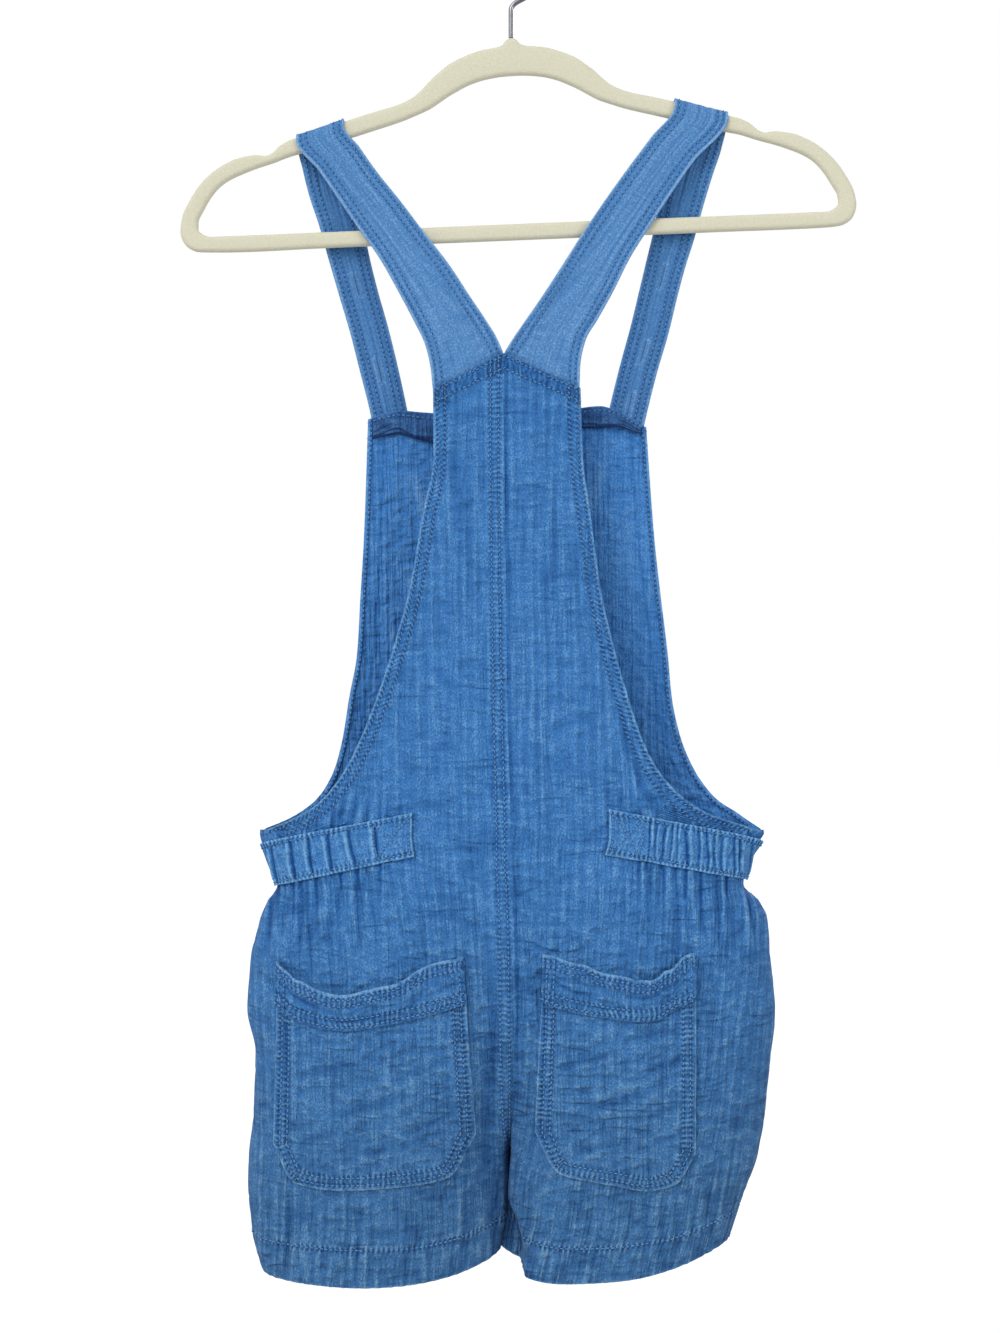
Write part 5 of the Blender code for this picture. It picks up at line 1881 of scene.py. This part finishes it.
def thread(name, code, other):
    """Spun polyester sewing thread: matt, twisted, a shade paler than the cloth it pulls in."""
    # The twist is 0.4 mm long, drawn as 1 mm grains.
    return plain(
        name,
        {"Scale": 900.0, "Detail": 2.0},
        {"Roughness": 0.8, "IOR": 1.5, "Sheen Weight": 0.15},
        stops=((0.3, code), (0.75, other)),
    )


def new_tree(name, sizes):
    """A geometry tree with named sizes as inputs, and what those inputs hold."""
    tree = bpy.data.node_groups.new(name, "GeometryNodeTree")
    tree.interface.new_socket("Geometry", in_out="INPUT", socket_type="NodeSocketGeometry")
    for size in sizes:
        tree.interface.new_socket(size, in_out="INPUT", socket_type="NodeSocketFloat")
    tree.interface.new_socket("Geometry", in_out="OUTPUT", socket_type="NodeSocketGeometry")
    return tree, add(tree, "NodeGroupInput").outputs


def realised(tree, points, instance, scales, finish):
    """Puts the instance on every point, each at its own scale, and gives it its finish.

    Its Z faces out of the cloth and its X runs along the row.
    """
    facing = add(tree, "GeometryNodeInputNamedAttribute", {"Name": "facing"}, data_type="FLOAT_VECTOR")
    along = add(tree, "GeometryNodeInputNamedAttribute", {"Name": "along"}, data_type="FLOAT_VECTOR")
    axes = {"Primary Axis": facing, "Secondary Axis": along}
    spread = dict(zip(("Min", "Max", "Seed"), scales))
    feeds = {
        "Points": points,
        "Instance": instance,
        "Rotation": add(tree, "FunctionNodeAxesToRotation", axes, primary_axis="Z", secondary_axis="X"),
        "Scale": add(tree, "FunctionNodeRandomValue", spread, data_type="FLOAT_VECTOR"),
    }
    placed = add(tree, "GeometryNodeInstanceOnPoints", feeds)
    real = add(tree, "GeometryNodeRealizeInstances", {"Geometry": placed})
    finished = add(tree, "GeometryNodeSetMaterial", {"Geometry": real, "Material": FINISHES[finish]})
    add(tree, "NodeGroupOutput", {"Geometry": finished})
    return tree


def stitch_tree():
    """A short bowed thread on every point."""
    tree, sizes = new_tree("stitches", STITCH_SIZES)
    half = add(tree, "ShaderNodeMath", {0: sizes["Stitch length"], 1: 0.5}, operation="MULTIPLY")
    other = add(tree, "ShaderNodeMath", {0: half, 1: -1.0}, operation="MULTIPLY")
    bow = {
        "Resolution": 4,
        "Start": add(tree, "ShaderNodeCombineXYZ", {"X": other}),
        "Middle": add(tree, "ShaderNodeCombineXYZ", {"Z": sizes["Stitch rise"]}),
        "End": add(tree, "ShaderNodeCombineXYZ", {"X": half}),
    }
    ring = {"Resolution": 5, "Radius": sizes["Thread radius"]}
    strand = {
        "Curve": add(tree, "GeometryNodeCurveQuadraticBezier", bow),
        "Profile Curve": add(tree, "GeometryNodeCurvePrimitiveCircle", ring, mode="RADIUS"),
        "Fill Caps": True,
    }
    swept = add(tree, "GeometryNodeCurveToMesh", strand)
    scales = ((0.85, 0.8, 0.8), (1.1, 1.25, 1.2), 3)
    return realised(tree, sizes["Geometry"], swept, scales, "thread")


def needle_hole_shade_tree():
    """A small dark disc on every point, painted shade in the dimple where the needle has drawn the cloth
    in.
    """
    tree, sizes = new_tree("needle_holes", ("Hole radius",))
    flat = {"Vertices": 8, "Radius": sizes["Hole radius"]}
    disc = add(tree, "GeometryNodeMeshCircle", flat, fill_type="TRIANGLE_FAN")
    scales = ((1.0, 0.6, 1.0), (1.5, 0.95, 1.0), 5)
    return realised(tree, sizes["Geometry"], disc, scales, "needle_hole")


def grown(name, rows, tree, sizes, shift=0.0):
    """What a tree puts on rows of points, as a plain mesh."""
    spots = np.concatenate([spots + along * shift for spots, facing, along, turned in rows])
    facings = np.concatenate([facing for spots, facing, along, turned in rows])
    alongs = np.concatenate([turned for spots, facing, along, turned in rows])
    seed = bpy.data.meshes.new(name)
    seed.from_pydata((spots * MM).tolist(), [], [])
    for key, values in (("facing", facings), ("along", alongs)):
        layer = seed.attributes.new(key, "FLOAT_VECTOR", "POINT")
        layer.data.foreach_set("vector", values.astype(np.float32).ravel())
    piece = in_scene(name, seed)
    grower = piece.modifiers.new("rows", "NODES")
    grower.node_group = tree
    sockets = {item.name: item.identifier for item in tree.interface.items_tree if item.in_out == "INPUT"}
    for size, value in sizes.items():
        grower[sockets[size]] = value * MM
    made_plain(piece)
    bpy.data.meshes.remove(seed)
    piece.data.name = name
    return piece


def sewing():
    """All the stitches, group by group, and the painted shade of the needle holes between them."""
    made = []
    stitches, holes = stitch_tree(), needle_hole_shade_tree()
    for group, rows in STITCHES.items():
        worked = group == "buttonhole_stitches"
        sizes = WORKED_STITCH if worked else SEWN_STITCH
        made.append(grown(group, rows, stitches, dict(zip(STITCH_SIZES, sizes))))
        if not worked:
            name = group.replace("stitches", "needle_holes")
            radius = FINE_HOLE if group in ("strap_stitches", "tab_stitches") else NEEDLE_HOLE
            made.append(grown(name, rows, holes, {"Hole radius": radius}, shift=0.5))
    return made


def studio():
    """A pale floor under the hanging garment, soft lamps and a white surround."""
    floor_mesh = bpy.data.meshes.new("floor")
    corners = [(-1, -1), (1, -1), (1, 1), (-1, 1)]
    places = [(x * FLOOR_REACH, y * FLOOR_REACH, FLOOR_Z) for x, y in corners]
    floor_mesh.from_pydata(places, [], [(0, 1, 2, 3)])
    # Matt white floor paper, which glows a little to the camera so that it stays white.
    paper, tree = finish_of("floor_paper")
    seen = add(tree, "ShaderNodeLightPath").outputs["Is Camera Ray"]
    skin = {
        "Base Color": linear("CFCFCF"),
        "Roughness": 0.9,
        "Specular IOR Level": 0.1,
        "Emission Color": (1, 1, 1, 1),
        "Emission Strength": add(tree, "ShaderNodeMath", {0: seen, 1: FLOOR_GLOW}, operation="MULTIPLY"),
    }
    floor_mesh.materials.append(skinned(paper, skin))
    in_scene("floor", floor_mesh)

    world = bpy.data.worlds.new("studio")
    bpy.context.scene.world = world
    world.use_nodes = True
    tree = world.node_tree
    tree.nodes.clear()
    rays = add(tree, "ShaderNodeLightPath").outputs
    seen = rays["Is Camera Ray"]
    for kind in ("Is Glossy Ray", "Is Transmission Ray"):
        seen = add(tree, "ShaderNodeMath", {0: seen, 1: rays[kind]}, operation="MAXIMUM")
    fill = add(tree, "ShaderNodeBackground", {"Color": (1, 1, 1, 1), "Strength": WORLD_FILL})
    white = add(tree, "ShaderNodeBackground", {"Color": (1, 1, 1, 1), "Strength": 1.0})
    mixed = add(tree, "ShaderNodeMixShader", {0: seen, 1: fill, 2: white})
    add(tree, "ShaderNodeOutputWorld", {"Surface": mixed})

    for name, shines_from, width, strength in LAMPS:
        light = bpy.data.lights.new(name, "SUN")
        light.angle = math.radians(width)
        light.energy = strength
        lit = in_scene(name, light)
        lit.rotation_euler = Vector(shines_from).to_track_quat("Z", "Y").to_euler()


def camera():
    """A level camera, square to the back of the garment."""
    lens = bpy.data.cameras.new("camera")
    lens.lens = CAMERA_LENS
    lens.clip_start = 0.05
    lens.clip_end = 60
    seen_from = in_scene("camera", lens)
    seen_from.location = CAMERA_PLACE
    seen_from.rotation_euler = (math.radians(90), 0, 0)
    bpy.context.scene.camera = seen_from
    bpy.context.scene.view_settings.view_transform = "Standard"


def declare(piece, node=None):
    """Makes a piece move with the whole, and hides the solid that it stands for, if any."""
    if node:
        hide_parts(node)
    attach(piece, "root")


FINISHES = {
    "gauze": gauze("double_gauze", ("144A88", "3974B3", "78AFDC")),
    "gauze_strap": gauze("double_gauze_strap", ("265A94", "4F83BB", "92B9DF"), creased=0.2),
    # The reverse, painted paler and bluer than the face to stand in for the light that reaches the inner
    # walls.
    "gauze_inside_painted_light": gauze("double_gauze_reverse_painted_light", ("1E559A", "4080C4", "80B1DF")),
    # The bib's inside band: the gauze painted darker and greyer, as painted shade where the band lies
    # under the bib's top.
    "gauze_facing_painted_shade": gauze("double_gauze_facing_painted_shade", ("142F5A", "336098", "6592C2")),
    "thread": thread("sewing_thread", "3A78B4", "5C96CA"),
    # Painted shade in the needle holes: dark discs on the cloth.
    "needle_hole": thread("needle_hole", "0A3568", "134A80"),
    # Velvet flock on a moulded hanger: short fibre stood on end, matt, with a pale sheen at
    # grazing. The fibre is 0.02 mm thick, so it is drawn as 0.5 mm grains to show.
    "flocking": plain(
        "flocked_plastic",
        {"Scale": 700.0, "Detail": 4.0, "Roughness": 0.8},
        {
            "Roughness": 0.95,
            "IOR": 1.5,
            "Specular IOR Level": 0.2,
            "Sheen Weight": 0.35,
            "Sheen Roughness": 0.4,
            "Sheen Tint": linear("F2F0E6"),
        },
        stops=((0.3, "CCC9B2"), (0.7, "DCD9C3")),
        fibre=2200.0,
    ),
    # Bright chromed steel wire: a mirror, with fine drawing marks that blur it a little. Its colour is
    # painted dark, a painted reflection of a dark room, since the studio it mirrors is white.
    "chrome": plain(
        "hook_chrome",
        {"Scale": 600.0, "Detail": 3.0},
        {"Base Color": linear("77797D"), "Metallic": 1.0},
        roughness=(0.10, 0.24),
    ),
    # Cast polyester button resin, dyed through and tumbled: faint swirls and a soft gloss.
    "resin": plain(
        "button_resin",
        {"Scale": 260.0, "Detail": 3.0, "Distortion": 1.5},
        {"IOR": 1.56},
        stops=((0.35, "2F5482"), (0.7, "476E9C")),
        roughness=(0.28, 0.42),
    ),
}

camera()
studio()

cloth_pieces = {}
for side in ("left", "right"):
    for face in ("back", "front"):
        cloth_pieces[f"{face}_{side}"] = panel(face, side)
    cloth_pieces[f"waist_tab_{side}"] = waist_tab(side)
    cloth_pieces[f"pocket_{side}"], cloth_pieces[f"pocket_band_{side}"] = pocket(side)
    cloth_pieces[f"strap_{side}"], laid = strap(side)
    disc, sewn = button(side, laid)
    declare(disc, f"button_{side}")
    declare(sewn)
cloth_pieces["bib_facing"] = bib_facing()
for node, piece in cloth_pieces.items():
    declare(piece, node)
declare(hanger_body(), "hanger_body")
declare(hanger_hook(), "hanger_hook")
for piece in sewing():
    declare(piece)
